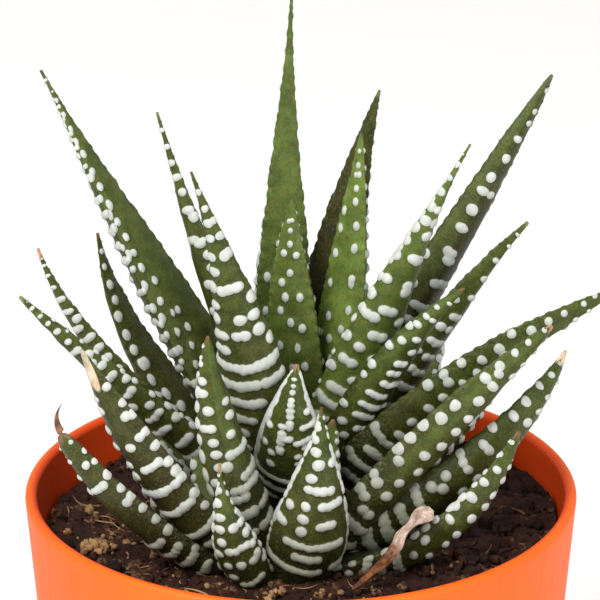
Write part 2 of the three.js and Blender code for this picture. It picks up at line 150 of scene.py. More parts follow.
def mesh_object(name, points, quads, triangles, material, attributes=None):
    """An object at the origin from points in millimetres, with quads, triangles and point attributes."""
    quads = np.asarray(quads, np.int32).reshape(-1, 4)
    triangles = np.asarray(triangles, np.int32).reshape(-1, 3)
    halves = np.concatenate([quads[:, (0, 1, 2)], quads[:, (0, 2, 3)], triangles])
    if enclosed_volume(points - points.mean(0), halves) < 0:
        quads, triangles = quads[:, ::-1], triangles[:, ::-1]
    corners = np.concatenate([quads.ravel(), triangles.ravel()])
    starts = np.concatenate([np.arange(len(quads)) * 4, 4 * len(quads) + np.arange(len(triangles)) * 3])
    mesh = bpy.data.meshes.new(name)
    mesh.vertices.add(len(points))
    mesh.vertices.foreach_set("co", (points * MM).astype(np.float32).ravel())
    mesh.loops.add(len(corners))
    mesh.loops.foreach_set("vertex_index", corners.astype(np.int32))
    mesh.polygons.add(len(starts))
    mesh.polygons.foreach_set("loop_start", starts.astype(np.int32))
    mesh.polygons.foreach_set("use_smooth", np.ones(len(starts), bool))
    mesh.update(calc_edges=True)
    for key, values in (attributes or {}).items():
        values = np.asarray(values, np.float32)
        kind, field = ("FLOAT", "value") if values.ndim == 1 else ("FLOAT_COLOR", "color")
        mesh.attributes.new(key, kind, "POINT").data.foreach_set(field, values.ravel())
    mesh.materials.append(material)
    thing = bpy.data.objects.new(name, mesh)
    bpy.context.scene.collection.objects.link(thing)
    return thing


def skin_faces(rows, columns):
    """Quads between rows of points that close on themselves, and the two fans that close the end rows.

    The fans' middle points come after the grid's points: first the first row's, then the last row's.
    """
    row = np.arange(rows - 1)[:, None] * columns
    here = np.arange(columns)[None]
    there = (here + 1) % columns
    quads = np.stack([row + here, row + there, row + columns + there, row + columns + here], -1)
    end = (rows - 1) * columns
    middle = rows * columns
    here, there = here[0], there[0]
    first = np.stack([np.full(columns, middle), there, here], -1)
    last = np.stack([np.full(columns, middle + 1), end + here, end + there], -1)
    return quads.reshape(-1, 4), np.concatenate([first, last])


def skin_points(rings):
    """The grid's points with the middle point of the first and of the last ring after them."""
    return np.vstack([rings.reshape(-1, 3), rings[0].mean(0), rings[-1].mean(0)])


def skin_values(values):
    """A value for each point of skin_points, from a value for each point of the grid."""
    flat = values.reshape(-1, *values.shape[2:])
    return np.concatenate([flat, values[:1].mean(1), values[-1:].mean(1)])


def compass(angle, radius=1.0):
    """[x, y] at each angle from +X and each radius."""
    return np.stack([radius * np.cos(angle), radius * np.sin(angle)], -1)


def circle(sides):
    """[x, y, 0] at equal angles round a circle of radius 1."""
    angle = np.linspace(0, 2 * np.pi, sides, endpoint=False)
    return np.column_stack([compass(angle), np.zeros(sides)])


def turned_rings(profile, sides):
    """Rings of a solid of revolution: each (radius, height) of the profile swept round +Z."""
    radius, height = np.asarray(profile, float).T
    return radius[:, None, None] * circle(sides) + height[:, None, None] * UP


def unit_rows(vectors):
    """Each row's vector at length 1."""
    return vectors / np.linalg.norm(vectors, axis=1, keepdims=True)


def bezier(base, mid, tip, share):
    """The quadratic curve through base, mid (halfway) and tip, and its unit direction, at each share."""
    base, mid, tip = (np.asarray(p, float) for p in (base, mid, tip))
    control = 2 * mid - base / 2 - tip / 2
    t = np.asarray(share)[:, None]
    point = (1 - t) ** 2 * base + 2 * t * (1 - t) * control + t ** 2 * tip
    along = 2 * (1 - t) * (control - base) + 2 * t * (tip - control)
    return point, unit_rows(along)


def smooth_step(low, high, value):
    """0 below low, 1 above high, and 3u^2 - 2u^3 between them."""
    share = np.clip((value - low) / (high - low), 0, 1)
    return share * share * (3 - 2 * share)


def lattice(i, j, seed):
    """A fixed random number from 0 to 1 for each whole pair (i, j): the tail of a steep sine."""
    return np.modf(np.abs(np.sin(i * 127.1 + j * 311.7 + seed * 74.7) * 43758.5453))[0]


def value_noise(x, y, cell, seed):
    """Random lattice values with smooth steps between them, over cells of one size; from 0 to 1."""
    x, y = np.asarray(x) / cell, np.asarray(y) / cell
    i, j = np.floor(x), np.floor(y)
    u, v = smooth_step(0, 1, x - i), smooth_step(0, 1, y - j)
    low = lattice(i, j, seed) * (1 - u) + lattice(i + 1, j, seed) * u
    high = lattice(i, j + 1, seed) * (1 - u) + lattice(i + 1, j + 1, seed) * u
    return low * (1 - v) + high * v


LAYER_SHARE = 0.55


def layered_noise(x, y, cell, layers, seed):
    """Value noise summed over layers, each with half the cell and LAYER_SHARE of the height of the last."""
    total, share, weight = 0, 1, 0
    for layer in range(layers):
        total = total + share * value_noise(x, y, cell / 2 ** layer, seed + layer)
        weight += share
        share *= LAYER_SHARE
    return total / weight


# ---------------------------------------------------------------- shader nodes


def new_material(name):
    """A material with an empty tree, its Principled shader and its output."""
    material = bpy.data.materials.new(name)
    material.use_nodes = True
    tree = material.node_tree
    tree.nodes.clear()
    shader = tree.nodes.new("ShaderNodeBsdfPrincipled")
    output = tree.nodes.new("ShaderNodeOutputMaterial")
    tree.links.new(shader.outputs["BSDF"], output.inputs["Surface"])
    return material, tree, shader


def add_node(tree, kind, inputs=None, **settings):
    """A node whose inputs are constants or other nodes' sockets."""
    node = tree.nodes.new(kind)
    for key, value in settings.items():
        setattr(node, key, value)
    for key, value in (inputs or {}).items():
        if isinstance(value, bpy.types.NodeSocket):
            tree.links.new(value, node.inputs[key])
        else:
            node.inputs[key].default_value = value
    return node


MIX_FACTOR, MIX_FIRST, MIX_SECOND = 0, 6, 7     # inputs of a Mix node that mixes colours
MIX_RESULT = 2


def mix(tree, factor, first, second, blend="MIX"):
    """The colour between first and second, each a socket or a linear red, green and blue."""
    first, second = (c if isinstance(c, bpy.types.NodeSocket) else (*c, 1) for c in (first, second))
    inputs = {MIX_FACTOR: factor, MIX_FIRST: first, MIX_SECOND: second}
    return add_node(tree, "ShaderNodeMix", inputs, data_type="RGBA", blend_type=blend).outputs[MIX_RESULT]


def tinted(tree, colour, tint):
    """The colour socket times a tint."""
    return mix(tree, 1.0, colour, tint, "MULTIPLY")


def scaled(colour, factors):
    """A colour value with each channel times its factor."""
    return [channel * factor for channel, factor in zip(colour, factors)]


def between(tree, value, low, high, new_low=0.0, new_high=1.0, smooth=False):
    """The value carried from one range to another, and held at its ends."""
    kind = "SMOOTHSTEP" if smooth else "LINEAR"
    inputs = {"Value": value, "From Min": low, "From Max": high, "To Min": new_low, "To Max": new_high}
    return add_node(tree, "ShaderNodeMapRange", inputs, interpolation_type=kind).outputs["Result"]


def noise(tree, scale, detail=3.0, roughness=0.55, stretch=(1, 1, 1)):
    """Noise on the object's own coordinates; scale is in cells to the metre."""
    place = add_node(tree, "ShaderNodeTexCoord").outputs["Object"]
    mapped = add_node(tree, "ShaderNodeMapping", {"Vector": place, "Scale": stretch}).outputs[0]
    inputs = {"Vector": mapped, "Scale": scale, "Detail": detail, "Roughness": roughness}
    return add_node(tree, "ShaderNodeTexNoise", inputs).outputs["Fac"]


def attribute(tree, name, output="Fac"):
    """A point attribute of the mesh."""
    return add_node(tree, "ShaderNodeAttribute", attribute_name=name).outputs[output]


def bump(tree, shader, height, distance, strength=1.0):
    """Fine relief on the shader; distance is in metres."""
    inputs = {"Height": height, "Distance": distance, "Strength": strength}
    tree.links.new(add_node(tree, "ShaderNodeBump", inputs).outputs["Normal"], shader.inputs["Normal"])


def plastic_material(colour):
    """Satin moulded plastic: even colour with faint clouds, a fine orange peel and slight scuffs.

    The attribute inside, 1 on the inner wall, makes it a deeper red: painted shade and bounced light.
    """
    material, tree, shader = new_material("orange_plastic")
    clouds = between(tree, noise(tree, 60, 2), 0.35, 0.65)
    cloudy = mix(tree, clouds, colour, scaled(colour, (0.93, 0.86, 0.8)))
    # Painted shade and bounced light: the inner wall is a deeper red than the plastic.
    inner_wall_shaded = mix(tree, attribute(tree, "inside"), cloudy, scaled(colour, (0.85, 0.5, 0.5)))
    tree.links.new(inner_wall_shaded, shader.inputs["Base Color"])
    scuffs = noise(tree, 900, 4, 0.7, stretch=(1, 1, 0.15))
    roughness = between(tree, scuffs, 0.3, 0.75, new_low=0.46, new_high=0.62)
    tree.links.new(roughness, shader.inputs["Roughness"])
    shader.inputs["Specular IOR Level"].default_value = 0.32
    shader.inputs["IOR"].default_value = 1.49
    bump(tree, shader, noise(tree, 2600, 2), 0.00004, 0.5)
    return material


def peat_material(name, soil, paler):
    """Damp peat: the attribute shade carries it from dark through brown to tan, with grains of its own.

    paler, from 0 up, lets brown and tan set in at a lower shade.
    """
    material, tree, shader = new_material(name)
    shade = attribute(tree, "shade")
    grain = noise(tree, 1500, 5, 0.65)
    lifted = add_node(tree, "ShaderNodeMath", {0: shade, 1: grain}, operation="ADD").outputs[0]
    browned = mix(tree, between(tree, lifted, 0.55, 1.05 - paler), soil.dark, soil.brown)
    full = mix(tree, between(tree, lifted, 1.1 - paler, 1.5 - paler), browned, soil.tan)
    tree.links.new(full, shader.inputs["Base Color"])
    shader.inputs["Roughness"].default_value = 0.88
    shader.inputs["Specular IOR Level"].default_value = 0.25
    bump(tree, shader, grain, 0.0002, 0.7)
    return material


def leaf_material(leaves):
    """Leaf skin: clouds, brown patches, bright flecks and dark specks on the colour of the attribute body,
    and white tubercles where the attribute edge is above 0.  The alpha of body is painted shade that dims
    the tubercles where it is low."""
    material, tree, shader = new_material("leaf_skin")
    body = attribute(tree, "body", "Color")
    cloud = between(tree, noise(tree, 520, 3, 0.6), 0.36, 0.64)
    clouded = mix(tree, cloud, tinted(tree, body, (0.66, 0.68, 0.62)), tinted(tree, body, (1.2, 1.2, 1.15)))
    patch = between(tree, noise(tree, 1900, 3, 0.65), 0.48, 0.62)
    browned = mix(tree, 0.7, clouded, tinted(tree, clouded, (1.45, 0.92, 0.8)))
    patched = mix(tree, patch, clouded, browned)
    fleck = between(tree, noise(tree, 4200, 2, 0.6), 0.52, 0.7, new_high=0.34)
    flecked = mix(tree, fleck, patched, leaves.bright_green)
    speck = between(tree, noise(tree, 3100, 3, 0.6, stretch=(1.3, 1.3, 0.8)), 0.54, 0.66, new_high=0.55)
    specked = mix(tree, speck, flecked, tinted(tree, body, (0.42, 0.42, 0.36)))
    veil = between(tree, noise(tree, 1100, 3), 0.35, 0.65)
    pearl = mix(tree, veil, leaves.white, scaled(leaves.white, (0.80, 0.82, 0.82)))
    # painted shade: tubercles low on the leaf are dimmed towards this
    shaded_pearl = tinted(tree, pearl, (0.42, 0.42, 0.32))
    white = mix(tree, attribute(tree, "body", "Alpha"), shaded_pearl, pearl)
    on_tubercle = between(tree, attribute(tree, "edge"), 0.0, 0.16, smooth=True)
    tree.links.new(mix(tree, on_tubercle, specked, white), shader.inputs["Base Color"])
    roughness = between(tree, on_tubercle, 0, 1, new_low=0.44, new_high=0.5)
    tree.links.new(roughness, shader.inputs["Roughness"])
    shader.inputs["Specular IOR Level"].default_value = 0.24
    bump(tree, shader, noise(tree, 3600, 3, 0.6), 0.00007, 0.7)
    return material


def dry_material():
    """Withered leaf: the attribute body is its colour, with darker streaks along it."""
    material, tree, shader = new_material("withered")
    streaks = between(tree, noise(tree, 1500, 5, 0.7, stretch=(1, 1, 0.3)), 0.38, 0.66)
    body = attribute(tree, "body", "Color")
    streaked = mix(tree, streaks, tinted(tree, body, (0.45, 0.36, 0.3)), body)
    tree.links.new(streaked, shader.inputs["Base Color"])
    shader.inputs["Roughness"].default_value = 0.8
    shader.inputs["Specular IOR Level"].default_value = 0.3
    bump(tree, shader, noise(tree, 2500, 4), 0.00012, 0.8)
    return material


def crown_material():
    """Pale olive stem with darker rings of old leaf scars."""
    material, tree, shader = new_material("crown_skin")
    rings = between(tree, noise(tree, 700, 4, 0.6, stretch=(0.4, 0.4, 1.6)), 0.35, 0.65)
    tree.links.new(mix(tree, rings, linear(84, 72, 44), linear(120, 118, 76)), shader.inputs["Base Color"])
    shader.inputs["Roughness"].default_value = 0.7
    bump(tree, shader, rings, 0.0002, 0.6)
    return material


def floor_material(colour):
    """Matt pale floor."""
    material, tree, shader = new_material("pale_floor")
    shader.inputs["Base Color"].default_value = (*colour, 1)
    shader.inputs["Roughness"].default_value = 0.9
    shader.inputs["Specular IOR Level"].default_value = 0.1
    return material


# ---------------------------------------------------------------- pot

POT_SIDES = 288
POT_EDGE = 1.0          # rounding of the underside's edge
POT_CORNER = 1.0        # slant between the inner wall and the floor
POT_MIDDLE = 0.2        # radius of the first and last rings, which are closed by a fan
POT_FLOOR_STEPS = 12
POT_FOOT_STEPS = 8
POT_LIP_STEPS = 16
POT_WALL_STEPS = 60
INNER_WALL_SHADE_DEPTHS = (0.4, 1.1)      # depth behind the outer face at which the inner wall's painted shade sets in


def pot_taper(pot):
    """How much the pot's radius grows for each unit of height."""
    return (pot.rim_radius - pot.base_radius) / pot.height


def pot_profile(pot):
    """(radius, height) points: floor, rounded foot, straight outer wall, half-round lip, inner wall."""
    height, rim, base = pot.height / MM, pot.rim_radius / MM, pot.base_radius / MM
    wall, floor = pot.wall / MM, pot.floor / MM

    def outer(z):
        """Radius of the outer wall."""
        return base + (rim - base) * z / height

    foot = np.linspace(-math.pi / 2, 0, POT_FOOT_STEPS)
    lip = np.linspace(0, math.pi, POT_LIP_STEPS)
    lip_z = height - wall / 2
    lip_r = outer(lip_z) - wall / 2
    rise = np.linspace(POT_EDGE, lip_z, POT_WALL_STEPS)[1:-1]
    fall = np.linspace(lip_z, floor + POT_CORNER, POT_WALL_STEPS)[1:]
    return np.concatenate([
        np.stack([np.linspace(POT_MIDDLE, base - POT_EDGE, POT_FLOOR_STEPS)[:-1],
                  np.zeros(POT_FLOOR_STEPS - 1)], -1),
        np.stack([base - POT_EDGE + POT_EDGE * np.cos(foot), POT_EDGE + POT_EDGE * np.sin(foot)], -1),
        np.stack([outer(rise), rise], -1),
        np.stack([lip_r + np.cos(lip) * wall / 2, lip_z + np.sin(lip) * wall / 2], -1),
        np.stack([outer(fall) - wall, fall], -1),
        np.stack([np.linspace(outer(floor) - wall - POT_CORNER, POT_MIDDLE, POT_FLOOR_STEPS),
                  np.full(POT_FLOOR_STEPS, floor)], -1),
    ])


class HAWORTHIA_OT_pot(bpy.types.Operator):
    """The round plastic pot, as a turned surface with a half-round lip"""

    bl_idname = "haworthia.pot"
    bl_label = "Pot"

    def execute(self, context):
        pot = context.scene.haworthia_pot
        profile = pot_profile(pot)
        rings = turned_rings(profile, POT_SIDES)
        quads, triangles = skin_faces(*rings.shape[:2])
        radius, height = profile.T
        depth = pot.base_radius / MM + pot_taper(pot) * height - radius
        # 1 on the inner wall, which gets painted shade and bounced light
        inside = smooth_step(*INNER_WALL_SHADE_DEPTHS, depth) * (height > POT_EDGE)
        inside = skin_values(np.repeat(inside[:, None], POT_SIDES, axis=1))
        thing = mesh_object("pot_shell", skin_points(rings), quads, triangles, plastic_material(pot.colour),
                            {"inside": inside})
        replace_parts(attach(thing, "root"), "pot")
        return {"FINISHED"}


# ---------------------------------------------------------------- peat

SOIL_SLOPE = 0.03       # rise towards the right
SOIL_MOUND = 1.0        # height of the mound in the middle
SOIL_MOUND_SPREAD = 13
SOIL_BOTTOM = 1.9
SOIL_CLEARANCE = 0.3    # between the peat and the pot
SOIL_DROP = 2           # the top is as wide as the pot is inside this far below the level
SOIL_GRID = 280         # points along one side of the grid that is rounded into a disc
SOIL_SEED = 11
CRUMB_SEED, FIBRE_SEED, GRAIN_SEED, SHADE_SEED = 12, 13, 20, 41
WAVE_HEIGHT = 0.14
LUMP_CELL, LUMP_HEIGHT = 2.4, 1.25
GRAIN_CELL, GRAIN_DEPTH = 0.9, 1.1
SOIL_LIFT = 0.2         # gives back part of what the pits between grains take
SHADE_CELL, SHADE_LEAST, SHADE_SPREAD = 3.0, 0.1, 0.75
SOIL_WALL_SHADE = 0.3   # paleness of the peat where it touches the pot
SHADED_SIDE = (8, 14)   # x from which crumbs and fibres get darker, and where they are darkest
CRUMB_SHADING, FIBRE_SHADING = 0.5, 0.45        # how much darker

CRUMB_REACH = 27.4      # how far from the middle crumbs lie
CRUMB_RADIUS, CRUMB_SPREAD, CRUMB_POWER = 0.18, 0.55, 4         # most are small
CRUMB_DARKEST, CRUMB_PALENESS, PALENESS_POWER = 0.12, 0.8, 1.5  # and most are dark
CRUMB_LIFT = 0.35       # of its middle above the peat, in its radii
PEBBLE_SIDES = 7
PEBBLE_LEVELS = 4
PEBBLE_DENTS = (0.72, 1.28)
PEBBLE_STRETCH = (0.65, 1.35)
HEAP_COUNT = 26         # crumbs in a heap for each mm of its radius
HEAP_SIZES = (0.16, 0.42)
HEAP_SHADES = (-0.25, 0.15)     # about the heap's own paleness, up to PALEST
PALEST = 1.1
HEAP_HEIGHT = 0.7

FIBRE_REACH = 26        # how far from the middle fibres start
FIBRE_LIMIT = 27        # and how far from it they end at most
FIBRE_LENGTHS = (0.8, 4.2)
FIBRE_BOW = 0.25        # spread of the bow, as a share of the length
FIBRE_RADII = (0.05, 0.13)
FIBRE_LIFT = (0.05, 0.45)
FIBRE_SHADES = (0.35, 1.1)
FIBRE_STEPS = 9
FIBRE_SIDES = 6
FIBRE_END_WIDTH = 0.35  # width of a fibre's ends against its middle

# What lies on the peat in plain sight: [x, y], radius and paleness from 0 dark to 1 tan.
CLUMPS = (
    ((-22.3, -4.6), 1.5, 1.0), ((-20.9, -5.4), 0.9, 0.9), ((-23.4, -5.4), 0.8, 0.8),
    ((18.0, -11.3), 1.5, 0.35), ((16.9, -12.2), 0.9, 0.45), ((21.8, -3.4), 1.2, 0.3),
    ((-2.6, -18.6), 0.6, 0.95), ((-3.4, -19.8), 0.5, 0.85), ((2.2, -18.9), 0.6, 0.8),
    ((13.4, -14.2), 0.9, 0.5), ((-15.4, -13.6), 0.8, 0.45), ((8.2, -18.6), 0.7, 0.6),
)
# Long fibres in plain sight: the two ends' [x, y] and their sideways bow.
LONG_FIBRES = (
    ((-20.7, -3.4), (-18.6, -6.9), 0.5), ((-17.4, -9.6), (-13.2, -11.4), 1.2),
    ((18.2, -11.4), (20.6, -7.2), -0.6), ((23.0, 5.6), (24.6, 1.4), 0.5), ((-25.2, 3.6), (-22.6, 1.2), 0.8),
    ((-12.6, -16.6), (-9.2, -18.4), 0.6), ((5.0, -21.4), (9.6, -20.6), -0.5),
    ((21.6, 2.4), (25.2, -0.6), 0.7),
)


def soil_level(soil, x, y):
    """Height of the peat: a low mound that tips to the right, without its crumbs."""
    mound = SOIL_MOUND * np.exp(-(x * x + y * y) / SOIL_MOUND_SPREAD ** 2)
    return soil.level / MM + SOIL_SLOPE * x + mound


def soil_height(soil, x, y):
    """The level plus crumbs: crossed waves, layered noise, and small pits between rounded grains."""
    waves = np.sin(1.9 * x + 0.7 * y) * np.cos(1.3 * y - 0.8 * x) + np.sin(0.9 * x * y / 8 + y)
    lumps = layered_noise(x, y, LUMP_CELL, 3, SOIL_SEED) - 0.5
    grains = np.abs(layered_noise(x, y, GRAIN_CELL, 2, GRAIN_SEED) - 0.5)
    uneven = WAVE_HEIGHT * waves + LUMP_HEIGHT * lumps - GRAIN_DEPTH * grains
    return soil_level(soil, x, y) + uneven + SOIL_LIFT


def disc_grid(count, radius):
    """A square grid drawn onto a disc: each square ring of the grid becomes a circle."""
    side = np.linspace(-1, 1, count)
    a, b = np.meshgrid(side, side, indexing="ij")
    reach = np.maximum(np.abs(a), np.abs(b))
    safe_a, safe_b = np.where(a == 0, 1, a), np.where(b == 0, 1, b)
    wide = np.abs(a) >= np.abs(b)
    angle = np.where(wide, np.pi / 4 * b / safe_a, np.pi / 2 - np.pi / 4 * a / safe_b)
    sign = np.where(wide, np.sign(a), np.sign(b))
    return radius * reach * sign * np.cos(angle), radius * reach * sign * np.sin(angle)


def soil_body(context):
    """The peat as one closed body: the crumbled top on a disc grid, a wall and a flat bottom."""
    soil, pot = context.scene.haworthia_soil, context.scene.haworthia_pot
    taper = pot_taper(pot)
    inner = (pot.base_radius - pot.wall) / MM - SOIL_CLEARANCE
    top_radius = inner + taper * (soil.level / MM - SOIL_DROP)
    x, y = disc_grid(SOIL_GRID, top_radius)
    z = soil_height(soil, x, y)
    shade = SHADE_LEAST + SHADE_SPREAD * layered_noise(x, y, SHADE_CELL, 4, SHADE_SEED)
    top = np.stack([x, y, z], -1).reshape(-1, 3)
    index = np.arange(SOIL_GRID ** 2).reshape(SOIL_GRID, SOIL_GRID)
    quads = np.stack([index[:-1, :-1], index[1:, :-1], index[1:, 1:], index[:-1, 1:]], -1).reshape(-1, 4)
    border = np.concatenate([index[:-1, 0], index[-1, :-1], index[:0:-1, -1], index[0, :0:-1]])
    bottom_radius = inner + taper * SOIL_BOTTOM
    bottom = top[border] * (bottom_radius / top_radius)
    bottom[:, 2] = SOIL_BOTTOM
    low = len(top) + np.arange(len(border))
    following = np.roll(np.arange(len(border)), -1)
    wall = np.stack([border, low, low[following], border[following]], -1)
    middle = np.full(len(border), len(top) + len(border))
    fan = np.stack([low, middle, low[following]], -1)
    points = np.vstack([top, bottom, (0, 0, SOIL_BOTTOM)])
    shades = np.concatenate([shade.ravel(), np.full(len(border) + 1, SOIL_WALL_SHADE)])
    return points, np.concatenate([quads, wall[:, ::-1]]), fan[:, ::-1], shades


def pebble_form(sides, levels):
    """Unit ball of few faces: rings of points between two poles, and its triangles."""
    polar = np.linspace(0, np.pi, levels + 2)[1:-1]
    rings = turned_rings(np.stack([np.sin(polar), np.cos(polar)], -1), sides)
    quads, triangles = skin_faces(levels, sides)
    points = np.vstack([rings.reshape(-1, 3), UP, -UP])
    return points, np.concatenate([quads[:, (0, 1, 2)], quads[:, (0, 2, 3)], triangles])


def pebbles(centres, radii, seed):
    """A rough ball at each centre: the unit ball, stretched, dented at random and turned."""
    rng = np.random.default_rng(seed)
    form, faces = pebble_form(PEBBLE_SIDES, PEBBLE_LEVELS)
    count = len(centres)
    dents = rng.uniform(*PEBBLE_DENTS, (count, len(form), 1))
    stretch = rng.uniform(*PEBBLE_STRETCH, (count, 1, 3))
    turn = rng.uniform(0, 2 * np.pi, (count, 1))
    shape = form * dents * stretch * np.asarray(radii)[:, None, None]
    x = shape[..., 0] * np.cos(turn) - shape[..., 1] * np.sin(turn)
    y = shape[..., 0] * np.sin(turn) + shape[..., 1] * np.cos(turn)
    points = np.stack([x, y, shape[..., 2]], -1) + centres[:, None]
    triangles = faces[None] + len(form) * np.arange(count)[:, None, None]
    return points.reshape(-1, 3), triangles.reshape(-1, 3), len(form)


def crumb_field(context):
    """Loose crumbs: many small ones at random over the peat, and the clumps as heaps of them."""
    soil = context.scene.haworthia_soil
    rng = np.random.default_rng(SOIL_SEED)
    radius = CRUMB_REACH * np.sqrt(rng.uniform(0.0, 1, soil.crumbs))
    place = compass(rng.uniform(0, 2 * np.pi, soil.crumbs), radius)
    size = CRUMB_RADIUS + CRUMB_SPREAD * rng.uniform(0, 1, soil.crumbs) ** CRUMB_POWER
    shade = rng.uniform(0, CRUMB_PALENESS, soil.crumbs) ** PALENESS_POWER + CRUMB_DARKEST
    shade = shade * (1 - CRUMB_SHADING * smooth_step(*SHADED_SIDE, place[:, 0]))
    heaps, heap_sizes, heap_shades = [], [], []
    for centre, heap_radius, paleness in CLUMPS:
        count = int(HEAP_COUNT * heap_radius)
        heaps.append(np.array(centre) + rng.normal(0, heap_radius / 2, (count, 2)))
        heap_sizes.append(rng.uniform(*HEAP_SIZES, count) * min(1.25, 0.6 + heap_radius / 2))
        heap_shades.append(np.clip(paleness + rng.uniform(*HEAP_SHADES, count), 0, PALEST))
    place = np.vstack([place, *heaps])
    size = np.concatenate([size, *heap_sizes])
    shade = np.concatenate([shade, *heap_shades])
    height = soil_height(soil, *place.T) + CRUMB_LIFT * size
    height[soil.crumbs:] += rng.uniform(0, HEAP_HEIGHT, len(height) - soil.crumbs)
    points, triangles, each = pebbles(np.column_stack([place, height]), size, CRUMB_SEED)
    return points, triangles, np.repeat(shade, each)


def fibre_rings(starts, ends, bows, radii):
    """Thin tubes: each bends sideways by its bow along sin(pi t), and tapers to its ends."""
    t = np.linspace(0, 1, FIBRE_STEPS)
    swell = np.sin(np.pi * t)[:, None]
    line = ends - starts
    across = unit_rows(np.stack([-line[:, 1], line[:, 0], np.zeros(len(line))], -1))
    centre = starts[:, None] + line[:, None] * t[:, None]
    centre = centre + (across * bows[:, None])[:, None] * swell
    ring_x, ring_y, _ = circle(FIBRE_SIDES).T[:, :, None]
    offset = ring_x * across[:, None, None] + ring_y * UP
    width = radii[:, None, None, None] * (FIBRE_END_WIDTH + (1 - FIBRE_END_WIDTH) * swell)[:, None]
    return centre[:, :, None] + offset * width


def fibre_field(context):
    """Loose fibres: short ones at random and the long ones in plain sight, just above the peat."""
    soil = context.scene.haworthia_soil
    rng = np.random.default_rng(FIBRE_SEED)
    count = soil.fibres
    radius = FIBRE_REACH * np.sqrt(rng.uniform(0.02, 1, count))
    start = compass(rng.uniform(0, 2 * np.pi, count), radius)
    turn = rng.uniform(0, 2 * np.pi, count)
    length = rng.uniform(*FIBRE_LENGTHS, count)
    end = start + compass(turn, length)
    bow = rng.normal(0, FIBRE_BOW, count) * length
    thick = rng.uniform(*FIBRE_RADII, count)
    long_start, long_end, long_bow = zip(*LONG_FIBRES)
    start = np.vstack([start, long_start])
    end = np.vstack([end, long_end])
    bow = np.concatenate([bow, long_bow])
    thick = np.concatenate([thick, np.full(len(LONG_FIBRES), max(FIBRE_RADII))])
    far = np.linalg.norm(end, axis=1, keepdims=True)
    end = end * np.minimum(1, FIBRE_LIMIT / far)
    lift = rng.uniform(*FIBRE_LIFT, (2, len(bow)))
    start = np.column_stack([start, soil_height(soil, *start.T) + lift[0]])
    end = np.column_stack([end, soil_height(soil, *end.T) + lift[1]])
    rings = fibre_rings(start, end, bow, thick)
    quads, fans = skin_faces(FIBRE_STEPS, FIBRE_SIDES)
    points = np.stack([skin_points(ring) for ring in rings])
    each = points.shape[1]
    offset = each * np.arange(len(rings))[:, None, None]
    shade = rng.uniform(*FIBRE_SHADES, len(rings))
    shade = shade * (1 - FIBRE_SHADING * smooth_step(*SHADED_SIDE, start[:, 0]))
    quads, fans = (quads[None] + offset).reshape(-1, 4), (fans[None] + offset).reshape(-1, 3)
    return points.reshape(-1, 3), quads, fans, np.repeat(shade, each)


class HAWORTHIA_OT_peat(bpy.types.Operator):
    """The peat in the pot, with its crumbs, clumps and fibres"""

    bl_idname = "haworthia.peat"
    bl_label = "Peat"

    def execute(self, context):
        soil = context.scene.haworthia_soil
        points, quads, fan, shade = soil_body(context)
        ground = mesh_object("peat", points, quads, fan, peat_material("peat", soil, 0.0), {"shade": shade})
        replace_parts(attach(ground, "root"), "soil")
        points, triangles, shade = crumb_field(context)
        crumbs = mesh_object("peat_crumbs", points, [], triangles, peat_material("crumbs", soil, 0.1),
                             {"shade": shade})
        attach(crumbs, "root")
        points, quads, fans, shade = fibre_field(context)
        fibres = mesh_object("peat_fibres", points, quads, fans, peat_material("fibres", soil, 0.2),
                             {"shade": shade})
        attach(fibres, "root")
        return {"FINISHED"}


# ---------------------------------------------------------------- crowns

# Each rosette grows from a short crown: middle [x, y], radius at the peat, top and foot heights.
CROWNS = {
    "crown_main": ((0, 4), 4.2, 56.5, 43),
    "crown_left": ((-8, -9), 2.9, 53.5, 44),
    "crown_front": ((2, -10), 2.9, 53.5, 44),
}
CROWN_SIDES = 48
CROWN_ROWS = 40
CROWN_TAPER = (0.8, 1, 0.85, 0.45)      # width at the foot, at the peat, halfway up and near the top
CROWN_TOP_RADIUS = 0.1
SCAR_DEPTH = 0.03       # of the rings of leaf scars, as a share of the radius
SCAR_TURNS = 5          # rings in 2 pi mm


class HAWORTHIA_OT_crowns(bpy.types.Operator):
    """The three short stems that the rosettes grow from"""

    bl_idname = "haworthia.crowns"
    bl_label = "Crowns"

    def execute(self, context):
        material = crown_material()
        level = context.scene.haworthia_soil.level / MM
        for name, (middle, radius, top, foot) in CROWNS.items():
            heights = [foot, level, (level + top) / 2, top - 1, top]
            radii = [*(radius * share for share in CROWN_TAPER), CROWN_TOP_RADIUS]
            z = np.linspace(foot, top, CROWN_ROWS)
            ringed = np.interp(z, heights, radii) * (1 + SCAR_DEPTH * np.sin(z * SCAR_TURNS))
            profile = np.stack([ringed, z], -1)
            rings = turned_rings(profile, CROWN_SIDES) + (*middle, 0)
            quads, fans = skin_faces(*rings.shape[:2])
            stem = mesh_object(f"{name}_stem", skin_points(rings), quads, fans, material)
            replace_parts(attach(stem, "root"), name)
        return {"FINISHED"}


# ---------------------------------------------------------------- leaves

# base, mid and tip are points of the leaf's centre line, width is its widest part, point is how drawn
# out the tip is, and faces is the compass angle, from +X towards +Y, that its rounded outer face looks to.
# look holds its tubercles and colours.
Leaf = namedtuple("Leaf", "name base mid tip width point faces look")
